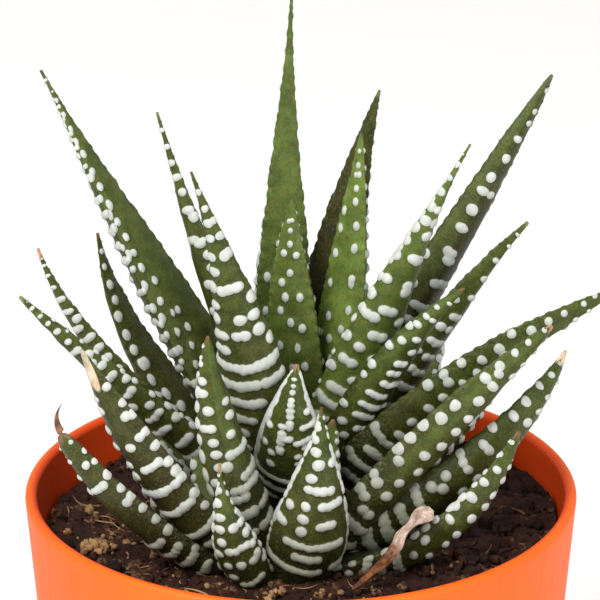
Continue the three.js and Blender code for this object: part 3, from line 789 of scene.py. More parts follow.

# What a leaf's look holds, with the values of a leaf that doesn't give its own.
# rows and inside place tubercles on the outer and on the inner face.  "4.6:25-7" is a row 4.6 mm from the
# tip with a single one at 2 and a run of joined ones from 5 to 7, where 1 is the left edge of the face,
# 5 its middle and 9 its right edge, seen with the tip up.  Below the last row of the outer face, rows
# follow by rule.  size: of the tubercles, against the full size.
# margins: edges that carry white teeth, -1 or 1.  teeth: distance between them.  tooth: their size.
# bright: a smooth strip as (from, to, reach), across from -1 to 1 and down to a share of the length.
# green: 0 dark to 1 bright, partly the leaf's own tone and partly painted shade on leaves that lie in shade.
# tip_colour and dry: colour and length of the dry tip.  scar: a dry patch at one edge of the face as
# (full at, none at, reach), across from -1 to 1 and down from the tip.  wisp: a dry thread beyond the
# tip as its bend and its end, from the tip.
# shade: shares of the length, from the foot, below which the painted shade on skin and tubercles is
# darkest and above which the skin has none.  fine: number of faces along and across, against the full
# number.
LOOKS = dict(rows="", inside="", size=1.0, margins=(-1, 1), teeth=1.4, tooth=1.0, bright=None, green=0.45,
             tip_colour="brown", dry=0.5, scar=None, wisp=None, shade=(0.02, 0.32), fine=1.0)
HIDDEN = dict(fine=0.6)
TIP_COLOURS = {
    "brown": linear(112, 84, 58),
    "peach": linear(190, 148, 116),
    "tan": linear(206, 190, 170),
    "pale": linear(122, 128, 88),
    "green": linear(76, 88, 46),
}


def new_leaf(name, base, mid, tip, width, point, faces, **look):
    """A leaf of the table, with LOOKS for what look doesn't give."""
    return Leaf(f"leaf_{name}", base, mid, tip, width, point, faces, {**LOOKS, **look})


LEAVES = (
    # front leaves of the three rosettes
    new_leaf("front_middle", (-0.3, -12.5, 49), (1.5, -15.5, 59.3), (2.2, -15, 69.5), 8.2, 1.5, -90,
             rows="1.7:2 2.4:3 3.6:3 5:4 6.2:58 7.8:4 8.9:4-7 10.5:6-8 10.8:4 11.3:2 12.2:4 12.8:6-7 "
                  "13.6:1-24 15.2:5-83-5 16.7:4-6",
             teeth=1.05, tooth=1.5, size=1.05, shade=(0.14, 0.36)),
    new_leaf("front_left_small", (-4.8, -13.8, 48.6), (-7.7, -17, 56.3), (-8.7, -17, 63.8), 5, 1.93, -85,
             rows="3.3:2 4.8:2 6.3:3 6.7:9 7.8:386 9.2:38 10.3:4-7 10.8:28 12.2:835 12.5:7 13.9:39 "
                  "14.9:4-7",
             teeth=1.3, tooth=1.2, bright=(-0.25, 0.5, 0.45), tip_colour="peach", dry=0.9),
    new_leaf("front_right_upper", (2.5, -9.5, 50.5), (15, -9.5, 65), (27, -8, 76), 6.4, 0.64, -60,
             rows="1.2:2 1.6:8 3.5:2 3.8:7 5.7:26 8:26 8.5:3 10.2:24 12.4:4 14.7:25 16.8:52 19.1:15 21:14 "
                  "22.8:51 23.4:2 25:4 26.4:1-2 26.7:4 28.4:1-2 29.5:3-4",
             margins=(1,), teeth=2, tooth=1.4, size=1.15, bright=(-0.6, -0.28, 0.72), tip_colour="peach",
             shade=(0.05, 0.42)),
    new_leaf("front_right_low", (3, -11.5, 50), (15.1, -12, 53.9), (23.5, -10, 64.5), 5.6, 0.76, -60,
             rows="1.2:2 2.9:1 3.4:7 4.3:3 5:7 6.1:2 6.6:6 8.2:26 10:5 10.4:1 11.9:2 12.2:5 13.8:5 15.6:2 "
                  "16:5 17.5:3",
             teeth=1.9, tooth=1.3, size=1.05, shade=(0.14, 0.34)),
    new_leaf("front_right_middle", (2.8, -8.5, 50), (19.1, -6.5, 60.2), (28.5, -5, 71.7), 7.2, 0.94, -60,
             rows="1.8:4 3.6:3 4.5:8 5.9:2 6.4:6 8.4:26 10.2:5 10.8:2 13.2:5 13.8:1 15.8:2-3 18.8:51-3 "
                  "20.8:5 21.3:2 22.2:3 23.3:2",
             margins=(1,), teeth=2.1, tooth=1.5, size=1.15, tip_colour="tan", dry=1.4, shade=(0.2, 0.44)),
    new_leaf("left_outer", (-7.1, -9.5, 50), (-16.1, -12, 62.2), (-23.5, -13, 75.3), 7.2, 0.8, -125,
             rows="4.9:8 5.6:4 7.2:94 8.7:8 9.1:9 9.9:3 11.5:8-9 12:63 13.6:9 14.1:4 15.1:6-8 15.8:49 "
                  "17.6:9 18.3:4-78-9 20.7:9 21.1:4-8 22.7:9",
             margins=(-1,), teeth=1.9, tooth=1.7, size=1.1, green=0.15, tip_colour="tan",
             scar=(0.3, 0.9, 4.4), shade=(0.1, 0.26)),
    new_leaf("left_low", (-9.1, -11.5, 49.5), (-18.3, -13.5, 57.1), (-25.8, -13, 65.5), 5.1, 0.4, -120,
             rows="1.2:82 3.1:94 4.4:7 4.8:9 5.3:3 6.8:9 7.3:35-7 9:9 10.7:8-9 12.5:9 14.4:9",
             margins=(-1,), green=0.1, wisp=((-0.5, 0, 1.8), (0.1, 0, 3.4)), shade=(0.22, 0.6)),
    new_leaf("left_upright", (-4.2, -10.8, 51), (-8.7, -12, 64.6), (-10, -12, 76.5), 5.7, 0.86, -65,
             rows="3.7:1 5.5:2 7.1:2 8.7:7 9.1:3 10.5:7 11.4:2-3 12.4:6 13:3 14.4:3 14.7:5-8 15.8:34 "
                  "17.6:26-9 18.7:4-8 19.3:2 19.8:3-5",
             margins=(-1,), teeth=1.9, tooth=1.5, size=1.1, bright=(-0.1, 0.45, 0.6), shade=(0.1, 0.45)),

    # main rosette, front half
    new_leaf("main_young", (-0.1, 2, 52), (-1.1, -6.5, 62.2), (-0.4, -7, 71), 8, 1.04, -95,
             rows="2:5 2.9:5 3.8:5 4.6:5 5.3:5 6:5 6.4:8 6.7:5 7.4:5 7.9:7-9 8:4-5 8.5:2 8.7:4 9.3:4-5 "
                  "10:46-8 10.7:247 11.3:4 11.8:36 12.6:6 13.3:3",
             teeth=0.55, tooth=2.1, size=0.85, tip_colour="peach", shade=(0.22, 0.55)),
    new_leaf("main_banded", (-3.3, 0.9, 51), (-5.7, -3.5, 71.1), (-11.8, -3, 91.8), 8.6, 1.42, -105,
             rows="2.2:5 4:6 5.6:58 7.3:48 9.3:37-8 11:3 12.9:24-7 14.8:29 16.5:268 18.3:2-35-68 20:2-39 "
                  "22:1-9 24.2:2-67-9 26.4:1-68 28.5:2-5 30.3:1-4 32.2:2-4 34:1-35 36:2-4 38:1-4 40:2-5",
             margins=(), size=1.25, shade=(0.16, 0.42)),
    new_leaf("main_right_arched", (2, 3, 52), (9, -3, 69), (17.5, -6, 79.5), 6.4, 0.85, -60,
             rows="3:4 4.6:2 6.4:24 8.2:2 9.2:1 10:4 11:2 12:5 13:1 14:45 15.6:4-5 16:1 17.2:4-6 18:1 "
                  "18.9:3-5 20.6:3-56 22.2:13-5 23.8:24-5 25.2:35 26.6:14 28:3-5 29.6:1-35 31.4:2-5 33:1-5",
             margins=(1,), size=0.95, bright=(-0.8, -0.35, 0.7)),
    new_leaf("main_right_long_low", (2.2, 2, 50), (15.6, -1.5, 66.2), (33.5, -2, 77.5), 8.4, 0.6, -60,
             rows="1.8:1 3:5 3.3:2 4.8:5 5.3:2 6.4:6 7.3:2 9.4:2 11.5:1 13.3:2-3 15.5:2 16.8:3 17.6:1 "
                  "18.7:3 19:5 20:1-2 21.3:3 22.3:1 23.4:3 26:3 28:3-4",
             margins=(1,), size=1.1, shade=(0.18, 0.44)),
    new_leaf("main_left_low", (-2.5, 2.5, 50.5), (-17.5, -3.5, 66), (-30.2, -6, 78.5), 6.2, 0.9, -125,
             rows="2.3:7 3.6:7 5:7 6.8:7 8.7:7 10.2:6-7 11.5:8 12.6:7 13.8:58 15.4:7-8 17:59 18.4:7-8 "
                  "20:6 21:8 22.5:6-8 24.5:5-79 27:6-8 29:5-8 31.5:6-9",
             margins=(1,), teeth=2.1, tip_colour="pale", shade=(0.08, 0.38)),

    # main rosette, sides
    new_leaf("main_right_narrow", (1.8, 3.2, 54), (8.7, 1.5, 73.5), (18.2, 1, 93.3), 7.4, 1.65, -70,
             rows="2.5:3 4.2:2 6:2 7.8:26 9.4:37 11:16 12.5:1 13.8:56 14.4:1 17:26 17.8:6 19.6:1 20.2:4-5 "
                  "21.6:1-37 23.4:4-5 25.2:13 26:5 27.4:2-36 29.2:14-5 31:2-5 33:1-46 35:2-6 37:1-5 39:2-7",
             margins=(-1,), teeth=2, size=1.2, green=0.75, tip_colour="pale"),
    new_leaf("main_right_long", (0.8, 5.4, 52.5), (12.8, 6.5, 73.5), (27.1, 11, 97.2), 5.5, 0.69, -70,
             rows="1.6:7 3.6:6 5.2:6 7:5 9:5 11.4:4 13.1:4-6 15.2:4 17.4:4 20.2:4-5 21.2:5 22.2:1 24:5-7 "
                  "25.4:2 27:4-6",
             margins=(), size=1.1, bright=(-0.9, -0.2, 0.5), green=0.12, tip_colour="green"),
    new_leaf("main_right_back", (3.2, 4.4, 50.5), (14, 3.2, 70.2), (24.5, 5, 82.5), 5.6, 0.95, -50,
             rows="2.4:4 4.4:5 7:4 9.8:5 12.8:5 14.2:2 15.8:4-5 17.6:35 19.4:3-5 21.4:24-5 23.4:3-5 "
                  "25.5:2-5 28:3-5",
             margins=(), tip_colour="pale"),
    new_leaf("main_left_dotted", (-0.8, 4.2, 53), (-8.9, 4.5, 74.4), (-15.5, 7, 94.5), 5.1, 1.46, -130,
             rows="2.2:6 4.2:6 6:6 8:6-7 9.8:7 11.8:7 12.8:8 15.2:5-6 15.8:7-8 17.3:8 19:8 20.6:6 21.3:7 "
                  "23.6:58 25.5:7 27.5:68 29.5:5-7 31.5:7-8",
             margins=(), size=1.05, tip_colour="pale"),
    new_leaf("main_left_long", (-1.2, 4.8, 51), (-15.6, 5, 76.4), (-28, 8, 99), 8.1, 1.46, 145,
             inside="4:2 6:2 8:2 9.6:1 11.4:2 13.5:2 15.5:2 17.8:2 19:1 20:2 22:2 24:12 26:2 28:13 30:2 "
                    "32:134 34:24 36:13 38:25 40:134 42:24 44:135",
             margins=(1,), teeth=1.9, green=0.3, tip_colour="green"),
    new_leaf("main_left_middle", (-2.7, 3.5, 50), (-19.9, 1, 67.4), (-28.3, 0, 81.5), 5.3, 1.39, -135,
             rows="1.6:6 3:6 4.7:6 6.8:6 9:6-7 11:6-7 12.4:8 13.4:6-7 15.4:7-8 17:58 18.6:6-8 20.5:58 "
                  "22.5:6-8 24.5:5-8 27:6-9",
             margins=(), tip_colour="peach", dry=1.3),
    new_leaf("main_left_back", (-3.4, 6, 50), (-16.1, 8.5, 64), (-22, 10, 79), 5.7, 1.1, 140,
             rows="16:4",
             inside="2.4:4 4.4:3 6.5:3 8.6:3 10.8:2 13:2 15:2 17:23 19:2 21:13 23:24 25:13 27:24",
             margins=(), size=1.25, green=0.12),

    # main rosette, back half
    new_leaf("main_centre", (0, 4.4, 54), (-1, 5, 71), (-1, 6.5, 84.5), 6.4, 1.0, 80,
             inside="3:46 4.2:5 6:5 7.2:3 7.6:7 9.6:5 10.8:3 12.6:47 14.4:3 15.6:5 16.2:7 18.3:36 20.5:57 "
                    "22:4 24:36 26:47 28:356",
             margins=(), green=0.5, tip_colour="green"),
    new_leaf("main_green", (1.5, 5.2, 53.5), (4.5, 7.5, 72), (6.5, 9.5, 91), 6.4, 0.95, 55,
             inside="2:6 3.4:6 4.6:57 6:6 7.6:6 9:2 10.3:7 11:2 12.8:7 14:2 16:7 16.8:7 17.6:2 19.8:7 "
                    "21:3 22:6 23.4:248 25.4:57 27:36 29:257 31:346 33:257",
             margins=(), green=0.85, tip_colour="green"),
    new_leaf("main_tall", (-1.4, 6.6, 52), (-1.8, 10, 77.1), (-1, 14, 105), 6.8, 1.61, 95,
             inside="24:57 26:46 28:57 30:2 32:38 34:2 36:7",
             margins=(), green=0.42, tip_colour="green"),
    new_leaf("main_back_dark", (1.8, 7, 51.5), (3.5, 11.8, 72), (8.5, 15, 93.7), 7.8, 1.1, 75,
             margins=(), green=0.0, tip_colour="pale"),
    new_leaf("back_tall", (-0.6, 7.6, 51), (-2.5, 15, 68), (-1.5, 20, 88), 6.4, 1.1, 95, **HIDDEN),
    new_leaf("back_middle", (-0.6, 7.2, 50), (-2, 17, 58.5), (-3, 27, 70), 6.4, 0.9, 97, **HIDDEN),
    new_leaf("back_right", (1.8, 6.6, 50), (5.5, 16, 58.5), (7, 24, 67), 6, 0.9, 72, **HIDDEN),
    new_leaf("back_left", (-2, 6.4, 50), (-9, 15, 58), (-14, 22, 66), 6, 0.9, 125, **HIDDEN),
    new_leaf("back_right_low", (2.4, 6, 49.8), (11, 13.5, 57.5), (16, 20, 66), 6, 0.9, 45, **HIDDEN),
    new_leaf("back_far_right", (3, 5, 49.5), (15, 10, 55), (22.5, 14, 62), 5.6, 0.9, 25, **HIDDEN),
    new_leaf("back_far_left", (-3, 5.4, 49.5), (-14, 10.5, 54.5), (-21.5, 15, 62), 5.6, 0.9, 155, **HIDDEN),

    # small leaves at the back of the two side rosettes
    new_leaf("front_young", (2, -8.6, 52), (2.5, -6.5, 58), (3.5, -6, 64), 3.8, 0.8, 90),
    new_leaf("left_young", (-8.5, -7.8, 51.5), (-10, -4, 57), (-11, -2.5, 63), 4, 0.8, 105),
    new_leaf("left_young_low", (-9.5, -8.2, 50.5), (-15, -5.5, 55), (-19, -4, 60), 4.2, 0.8, 160),
)

FULL_AT = 0.8           # share of the length, from the tip, at which a leaf is full width
FOOT_WIDTH = 0.86       # width at the foot against the full width
TIP_RADIUS = 0.16
LEAST_DEPTH = 0.13      # what each face's depth has on top of its share of the width
KEEL = 0.72             # depth of the outer face, as a share of half the width
INNER = 0.14            # rise of the inner face's middle, as a share of half the width
SHARP_FOOT, SHARP_GAIN = 0.15, 0.45     # share of the ridge in the outer face, and what the tip adds
SHARP_FROM = 0.6        # where the keel starts to get sharper, from 0 at the foot
RIDGE_TOP, RIDGE_ROUND, RIDGE_EDGE = 1.06, 0.015, 0.3
QUARTER_ARC = 1.36      # length of the section's outline from keel to margin, for a half width of 1
OUTER_COLUMNS = 64
INNER_COLUMNS = 22
OUTLINE_STEPS = 721

Section = namedtuple("Section", "x y half share_across across_mm from_margin outer")


def half_width(leaf, from_tip):
    """Half width: a sine that swells to full width, drawn out towards the tip by a power, slightly
    narrower again at the foot."""
    swell = np.sin(np.pi / 2 * np.minimum(1, from_tip / FULL_AT)) ** leaf.point
    past = np.maximum(0, from_tip - FULL_AT) / (1 - FULL_AT)
    return TIP_RADIUS + (leaf.width / 2 - TIP_RADIUS) * swell * (1 - (1 - FOOT_WIDTH) * past)


def unit_outline(columns):
    """Outer half of the section for a half width of 1: an ellipse, sampled at equal arc lengths.

    Gives across (1 at one margin to -1 at the other), depth (0 to 1) and the arc from the keel.
    """
    angle = np.linspace(0, np.pi, OUTLINE_STEPS)
    across, depth = np.cos(angle), np.sin(angle)
    steps = np.hypot(np.diff(across), np.diff(depth) * KEEL)
    arc = np.concatenate([[0], np.cumsum(steps)])
    wanted = np.linspace(0, arc[-1], columns)
    found = np.interp(wanted, arc, angle)
    return np.cos(found), np.sin(found), 1 - 2 * wanted / arc[-1]


def leaf_section(leaf, share):
    """The section at each share of the centre line, from 0 at the foot to 1 at the tip, before anything
    is raised on it.

    Its outer face is an ellipse mixed with a ridge, of which the tip has more.  The ridge's depth is
    RIDGE_TOP less the root of across squared plus RIDGE_ROUND, times the ellipse's depth to the power
    RIDGE_EDGE.  Its inner face is a low arch of depth 1 - across squared.  x and y are across and
    outwards, share_across goes from one margin at -1 to the other at 1, across_mm and from_margin are
    measured along the face, and outer is the number of the outer face's columns, which come first.
    """
    half = half_width(leaf, 1 - share)[:, None]
    across, depth, arc = unit_outline(int(OUTER_COLUMNS * leaf.look["fine"]) + 1)
    sharp = (SHARP_FOOT + SHARP_GAIN * smooth_step(SHARP_FROM, 1.0, share))[:, None]
    ridge = (RIDGE_TOP - np.sqrt(across ** 2 + RIDGE_ROUND)) * depth ** RIDGE_EDGE
    outer_y = (KEEL * half + LEAST_DEPTH) * ((1 - sharp) * depth + sharp * ridge)
    inner = -np.cos(np.linspace(0, np.pi, int(INNER_COLUMNS * leaf.look["fine"]) + 2))[1:-1]
    inner_y = -(INNER * half + LEAST_DEPTH) * (1 - inner ** 2)
    x, y = half * np.concatenate([across, inner]), np.hstack([outer_y, inner_y])
    share_across = np.broadcast_to(np.concatenate([arc, inner]), x.shape)
    widest = half * np.repeat((QUARTER_ARC, 1.0), (len(across), len(inner)))
    across_mm = widest * share_across
    return Section(x, y, half, share_across, across_mm, widest - np.abs(across_mm), len(across))


def leaf_frame(along, faces):
    """Directions at each point of the centre line: side is across the leaf, out is where its keel points."""
    angle = math.radians(faces)
    side = np.cross(UP, (math.cos(angle), math.sin(angle), 0))
    side = unit_rows(side - along * (along @ side)[:, None])
    return side, np.cross(side, along)


ROW_REACH = 0.86        # where 1 and 9 of a row lie, between the middle at 0 and the margin at 1
RULED_PART = 0.96       # share of the length that rows by rule fill
RULED_BANDS = (0.3, 0.75)               # shares of the length between which bands take over
RULED_SHIFT = 0.22      # of every other row
SINGLES = 0.75          # share of single ones where no bands are
RUN_LENGTHS = (0.2, 0.5)                # across, and BAND_LENGTH is what bands add to the longest
BAND_LENGTH = 1.3
GAPS = (0.28, 0.42)
PITCHES = (0.93, 1.07)


def read_rows(text):
    """(mm from the tip, first, last) for each tubercle or run, across from -1 to 1; LOOKS says how."""
    found = []
    for row in text.split():
        place, across = row.split(":")
        for first, last in re.findall(r"(\d)(?:-(\d))?", across):
            found.append((float(place), *((int(d) - 5) / 4 * ROW_REACH for d in (first, last or first))))
    return found


def rows_by_rule(start, length, pitch, rng):
    """Rows below the place where the rows given end: single ones, pairs and runs, joining more and more
    into bands towards the foot, with every other row shifted sideways."""
    found, place, row = [], start, 0
    while place < RULED_PART * length:
        banded = smooth_step(*RULED_BANDS, place / length)
        at = -ROW_REACH + RULED_SHIFT * (row % 2)
        while at < ROW_REACH:
            single = rng.uniform() > 1 - SINGLES + SINGLES * banded
            shortest, longest = RUN_LENGTHS
            run = 0.0 if single else rng.uniform(shortest, longest + BAND_LENGTH * banded)
            found.append((place, at, min(at + run, ROW_REACH)))
            at += run + rng.uniform(*GAPS)
        place += pitch * rng.uniform(*PITCHES)
        row += 1
    return found


ROW_CURVE = 0.9         # how far a row's ends lie nearer to the tip than its middle
CURVE_GROWTH = 1.5      # rows below 1 / CURVE_GROWTH of the length are curved in full
FULL_SIZE_AT = 0.32     # share of the length, from the tip, at which tubercles are full size
TIP_SIZE = 0.5
SHORT_RUN = 0.3         # in radii: shorter ones are a single dome
RUN_PITCH = 1.15        # distance between the domes of a run, in their radii
RUN_DOME = 0.94         # length of the domes of a run against a single one's
DOME_LENGTHS = (0.86, 1.08)
DOME_WIDTHS = (0.96, 1.24)
ROW_SPREAD = 0.07       # of a row, and DOME_SPREAD of a dome, along the leaf
DOME_SPREAD = 0.05


def tubercles(spans, leaf, full, length, reach, rng):
    """Single domes for the spans, as [from tip, across, radius along, radius across] in mm.

    full is their radius at full size, and reach how far the face goes to each side for a half width of 1.
    Rows curve towards the tip at the margins, and a run is a chain of domes so close that they join.
    """
    found = []
    for place, first, last in spans:
        half = reach * half_width(leaf, place / length)
        radius = full * (TIP_SIZE + (1 - TIP_SIZE) * smooth_step(0.0, FULL_SIZE_AT, place / length))
        width = abs(last - first) * half
        single = width < SHORT_RUN * radius
        count = 1 if single else max(2, int(round(width / (RUN_PITCH * radius))) + 1)
        shift = rng.normal(0, ROW_SPREAD)
        for share in np.linspace(first, last, count):
            curve = ROW_CURVE * share * share * min(1, CURVE_GROWTH * place / length)
            along = radius * rng.uniform(*DOME_LENGTHS) * (1.0 if single else RUN_DOME)
            across = radius * rng.uniform(*DOME_WIDTHS)
            middle = place - curve + shift + rng.normal(0, DOME_SPREAD)
            found.append((middle, share * half, along, across))
    return np.array(found).reshape(-1, 4)


FIRST_TOOTH = 1.1
TOOTHED_PART = 0.97     # share of the length that has teeth
TOOTH_SPREAD = 0.12     # in steps from one tooth to the next
TOOTH_FULL_AT = 0.35    # share of the length, from the tip, at which teeth are full size
TIP_TOOTH = 0.35        # their size at the tip
TOOTH_SIZES = (0.65, 1.2)
TOOTH_INWARDS = 0.18    # farthest from the margin
TOOTH_RADII = (0.54, 0.38)              # along and across, for a tooth of size 1


def margin_teeth(length, look, rng):
    """Long small teeth on a margin, as [from tip, distance from the margin, radii]."""
    place = np.arange(FIRST_TOOTH, TOOTHED_PART * length, look["teeth"])
    place = place + rng.normal(0, TOOTH_SPREAD, len(place)) * look["teeth"]
    growth = TIP_TOOTH + (1 - TIP_TOOTH) * smooth_step(0, TOOTH_FULL_AT, place / length)
    size = rng.uniform(*TOOTH_SIZES, len(place)) * growth * look["tooth"]
    inwards = rng.uniform(0, TOOTH_INWARDS, len(place))
    return np.stack([place, inwards, *(radius * size for radius in TOOTH_RADII)], -1)


DOME_POWER = 2.1        # of the cubes, so 0.7 of the domes
REACH = 1.7             # radii over which a tubercle is worked out


def raised(found, from_tip, across, uneven):
    """Height and edge fields of the tubercles found, each worked out only over the rows that it reaches.

    With r the distance from its middle in units of its radii, stretched a little by the field uneven, its
    dome is (1 - r^2)^0.7 and its edge value is 1 - r.  Heights are kept as cubes, whose sum joins domes,
    and edges join as the largest.
    """
    cubes, edges = np.zeros(across.shape), np.full(across.shape, -1.0)
    for place, middle, long_radius, wide_radius in found:
        ends = (place - REACH * long_radius, place + REACH * long_radius)
        rows = slice(*np.searchsorted(from_tip, ends))
        r2 = ((from_tip[rows, None] - place) / long_radius) ** 2
        r2 = (r2 + ((across[rows] - middle) / wide_radius) ** 2) * uneven[rows]
        cubes[rows] += np.clip(1 - r2, 0, 1) ** DOME_POWER
        edges[rows] = np.maximum(edges[rows], 1 - np.sqrt(r2))
    return cubes, edges


STRETCH_LEAST, STRETCH_SPREAD, STRETCH_CELL = 0.7, 0.6, 0.9     # noise that makes outlines uneven
NOISE_SHIFT = 50        # moves it away from the noise that makes the skin uneven
INSIDE_SIZE = 0.8       # tubercles of the inner face against those of the outer
INSIDE_SCALE = (1, -1, 1.35, 0.8)       # and their place, mirrored, and their radii along and across
MARGIN_FADE = (0.74, 0.97)              # where domes sink towards the margin
MARGIN_SINK = 0.9       # share of their cubes that goes there
TOOTH_RISE, GREEN_TOOTH_RISE = 0.5, 0.06        # cubes of the heights of white and green teeth
ELSEWHERE = 9           # puts one margin's teeth off the other half of the section


def leaf_relief(leaf, leaves, section, from_tip, seed, rng):
    """Height, as cubes, and edge fields of all the tubercles and margin teeth of a leaf."""
    look, length, outer = leaf.look, from_tip[-1], section.outer
    place = (from_tip[:, None] + NOISE_SHIFT, section.across_mm + NOISE_SHIFT)
    uneven = STRETCH_LEAST + STRETCH_SPREAD * layered_noise(*place, STRETCH_CELL, 2, seed)
    full, pitch = leaves.tubercle / MM * look["size"] / 2, leaves.row_pitch / MM
    spans = read_rows(look["rows"])
    below = max((place for place, _, _ in spans), default=0) + pitch
    spans += rows_by_rule(below, length, pitch, rng)
    on_outer = tubercles(spans, leaf, full, length, QUARTER_ARC, rng)
    on_inner = tubercles(read_rows(look["inside"]), leaf, INSIDE_SIZE * full, length, 1, rng) * INSIDE_SCALE
    faces = [raised(found, from_tip, section.across_mm[:, part], uneven[:, part])
             for found, part in ((on_outer, slice(outer)), (on_inner, slice(outer, None)))]
    cubes, edges = (np.hstack(fields) for fields in zip(*faces))
    cubes = cubes * (1 - MARGIN_SINK * smooth_step(*MARGIN_FADE, np.abs(section.share_across)))
    for margin in (1, -1):
        here = section.from_margin + ELSEWHERE * (margin * section.share_across <= 0)
        teeth, teeth_edges = raised(margin_teeth(length, look, rng), from_tip, here, uneven)
        white = margin in look["margins"]
        cubes = np.maximum(cubes, (TOOTH_RISE if white else GREEN_TOOTH_RISE) * teeth)
        edges = np.maximum(edges, teeth_edges) if white else edges
    return cubes, edges


MIDDLE_GREEN = 0.5      # of a look's green: above it the outer face turns bright too
GREEN_FOOT, GREEN_RISE, GREEN_WEIGHT = 0.05, 0.85, 1.2
INNER_BRIGHT = 0.9
INNER_FROM = (0.05, 0.5)                # shares of the length, from the foot, where the inner face brightens
STRIP_BRIGHT = 0.22
SOFT_IN, SOFT_OUT = 0.05, 0.1           # softness of a strip's edges
RAGGED, RAGGED_TURNS = 0.35, 9          # waves of the dry tip's edge
DRY_SOFT_IN, DRY_SOFT_OUT = 0.3, 0.5    # softness of it, in mm
SCAR_SOFT = 0.25
# Painted shade low on each leaf: it darkens the skin and dims the tubercles.
SHADED_FOOT_WHITE = 0.15       # how white tubercles are at the foot
TUBERCLE_SHADE_LATER = 0.22      # share of the length by which they are full white later than the skin is bright
SHADED_FOOT_BRIGHT = 0.4       # how bright the skin is at the foot


def leaf_colours(look, leaves, section, from_tip, rng):
    """Body colour over the leaf: dark low down, greener above, brighter on smooth strips and on the inner
    face, with painted shade towards the foot, and the tip's own colour over its last millimetres.  Its
    fourth value is painted shade that dims the tubercles low down.  Also how withered each point is."""
    dark, green, bright = (np.array(c) for c in (leaves.dark_green, leaves.green, leaves.bright_green))
    across = section.share_across
    inner_face = np.arange(across.shape[1]) >= section.outer
    down = (from_tip / from_tip[-1])[:, None]
    up = (1 - down) * np.ones(across.shape)
    past_middle = look["green"] - MIDDLE_GREEN
    # Dark low down and greener above: partly the leaf's own colour and partly painted shade low on the leaf.
    lift = np.clip(GREEN_FOOT + GREEN_RISE * up + GREEN_WEIGHT * past_middle, 0, 1)
    colour = dark + (green - dark) * lift[..., None]
    inner = INNER_BRIGHT * look["green"] * smooth_step(*INNER_FROM, up)
    strip = np.where(inner_face, inner, max(0, past_middle))
    if look["bright"]:
        low, high, until = look["bright"]
        soft = smooth_step(low - SOFT_OUT, low + SOFT_IN, across)
        soft = soft * (1 - smooth_step(high - SOFT_IN, high + SOFT_OUT, across))
        reach = 1 - smooth_step(until - SOFT_OUT, until + SOFT_OUT, down)
        strip = np.maximum(strip, soft * reach * ~inner_face * STRIP_BRIGHT)
    colour = colour + (bright - colour) * strip[..., None]
    ragged = from_tip[:, None] + RAGGED * np.sin(RAGGED_TURNS * across + rng.uniform(0, 6))
    withered = 1 - smooth_step(look["dry"] - DRY_SOFT_IN, look["dry"] + DRY_SOFT_OUT, ragged)
    if look["scar"]:
        full_at, none_at, reach = look["scar"]
        patch = reach * (1 - smooth_step(full_at, none_at, across))
        withered = np.maximum(withered, 1 - smooth_step(-SCAR_SOFT, SCAR_SOFT, ragged - patch))
    # Painted shade towards the foot: lit darkens the skin and white dims the tubercles.
    dark_below, bright_above = look["shade"]
    white = SHADED_FOOT_WHITE + (1 - SHADED_FOOT_WHITE) * smooth_step(dark_below, bright_above + TUBERCLE_SHADE_LATER, up)
    lit = SHADED_FOOT_BRIGHT + (1 - SHADED_FOOT_BRIGHT) * smooth_step(dark_below, bright_above, up)
    colour = colour * lit[..., None]
    colour = colour + (TIP_COLOURS[look["tip_colour"]] - colour) * withered[..., None]
    return np.concatenate([colour, white[..., None]], -1), withered


def pushed_out(x, y, lift):
    """The section moved by lift along its outward normal, which stands square to the step from each
    point's neighbour on one side to that on the other."""
    nx, ny = np.gradient(y, axis=1), -np.gradient(x, axis=1)
    norm = np.hypot(nx, ny)
    sign = np.sign((nx * x + ny * y).sum())
    return x + sign * nx / norm * lift, y + sign * ny / norm * lift


LENGTH_STEPS = 200
DOME_LIMIT = 1.12       # most that joined domes may rise to, against a single one
DRY_EDGE = 1.2          # taken from edge values where the leaf is withered, so that no white is left
FULL_RISE_AT = 2.4      # half width at which domes have their full rise
TIP_RISE = 0.45         # share of it that would be left at no width
UNEVEN_RISE, UNEVEN_CELL, UNEVEN_ACROSS = 0.16, 1.6, 3


def leaf_skin(leaf, leaves, seed):
    """Points and attributes of one leaf: its section carried along its centre line from tip to foot, and
    raised along the section's normal by tubercles, margin teeth and a faint unevenness."""
    rng = np.random.default_rng(seed)
    rough, _ = bezier(leaf.base, leaf.mid, leaf.tip, np.linspace(0, 1, LENGTH_STEPS))
    length = float(np.linalg.norm(np.diff(rough, axis=0), axis=1).sum())
    rows = int(length * leaf.look["fine"] / (leaves.row_step / MM))
    share = np.linspace(1, 0, rows)
    from_tip = (1 - share) * length
    centre, along = bezier(leaf.base, leaf.mid, leaf.tip, share)
    side, out = leaf_frame(along, leaf.faces)
    section = leaf_section(leaf, share)
    cubes, edges = leaf_relief(leaf, leaves, section, from_tip, seed, rng)
    colour, withered = leaf_colours(leaf.look, leaves, section, from_tip, rng)
    domes = np.minimum(np.cbrt(cubes), DOME_LIMIT) * (1 - withered)
    edges = edges - DRY_EDGE * withered
    rise = TIP_RISE + (1 - TIP_RISE) * np.clip(section.half / FULL_RISE_AT, 0, 1)
    rise = rise * leaves.rise / MM
    uneven = value_noise(from_tip[:, None], section.share_across * UNEVEN_ACROSS, UNEVEN_CELL, seed) - 0.5
    uneven = UNEVEN_RISE * uneven * np.clip(section.half, 0, 1)
    x, y = pushed_out(section.x, section.y, rise * domes + uneven)
    rings = centre[:, None] + x[..., None] * side[:, None] + y[..., None] * out[:, None]
    if leaf.look["wisp"]:
        rings, colour, edges = with_wisp(leaf, rings, colour, edges)
    return rings, {"body": skin_values(colour), "edge": skin_values(edges)}


WISP_ROWS = 24
WISP_TIP_WIDTH, WISP_NARROWING = 2.8, 2.0       # times the tip's ring
WISP_BROWN = linear(128, 86, 66)
WISP_BANDS, WISP_BAND_TURNS = 0.4, 14           # lighter and darker bands along it


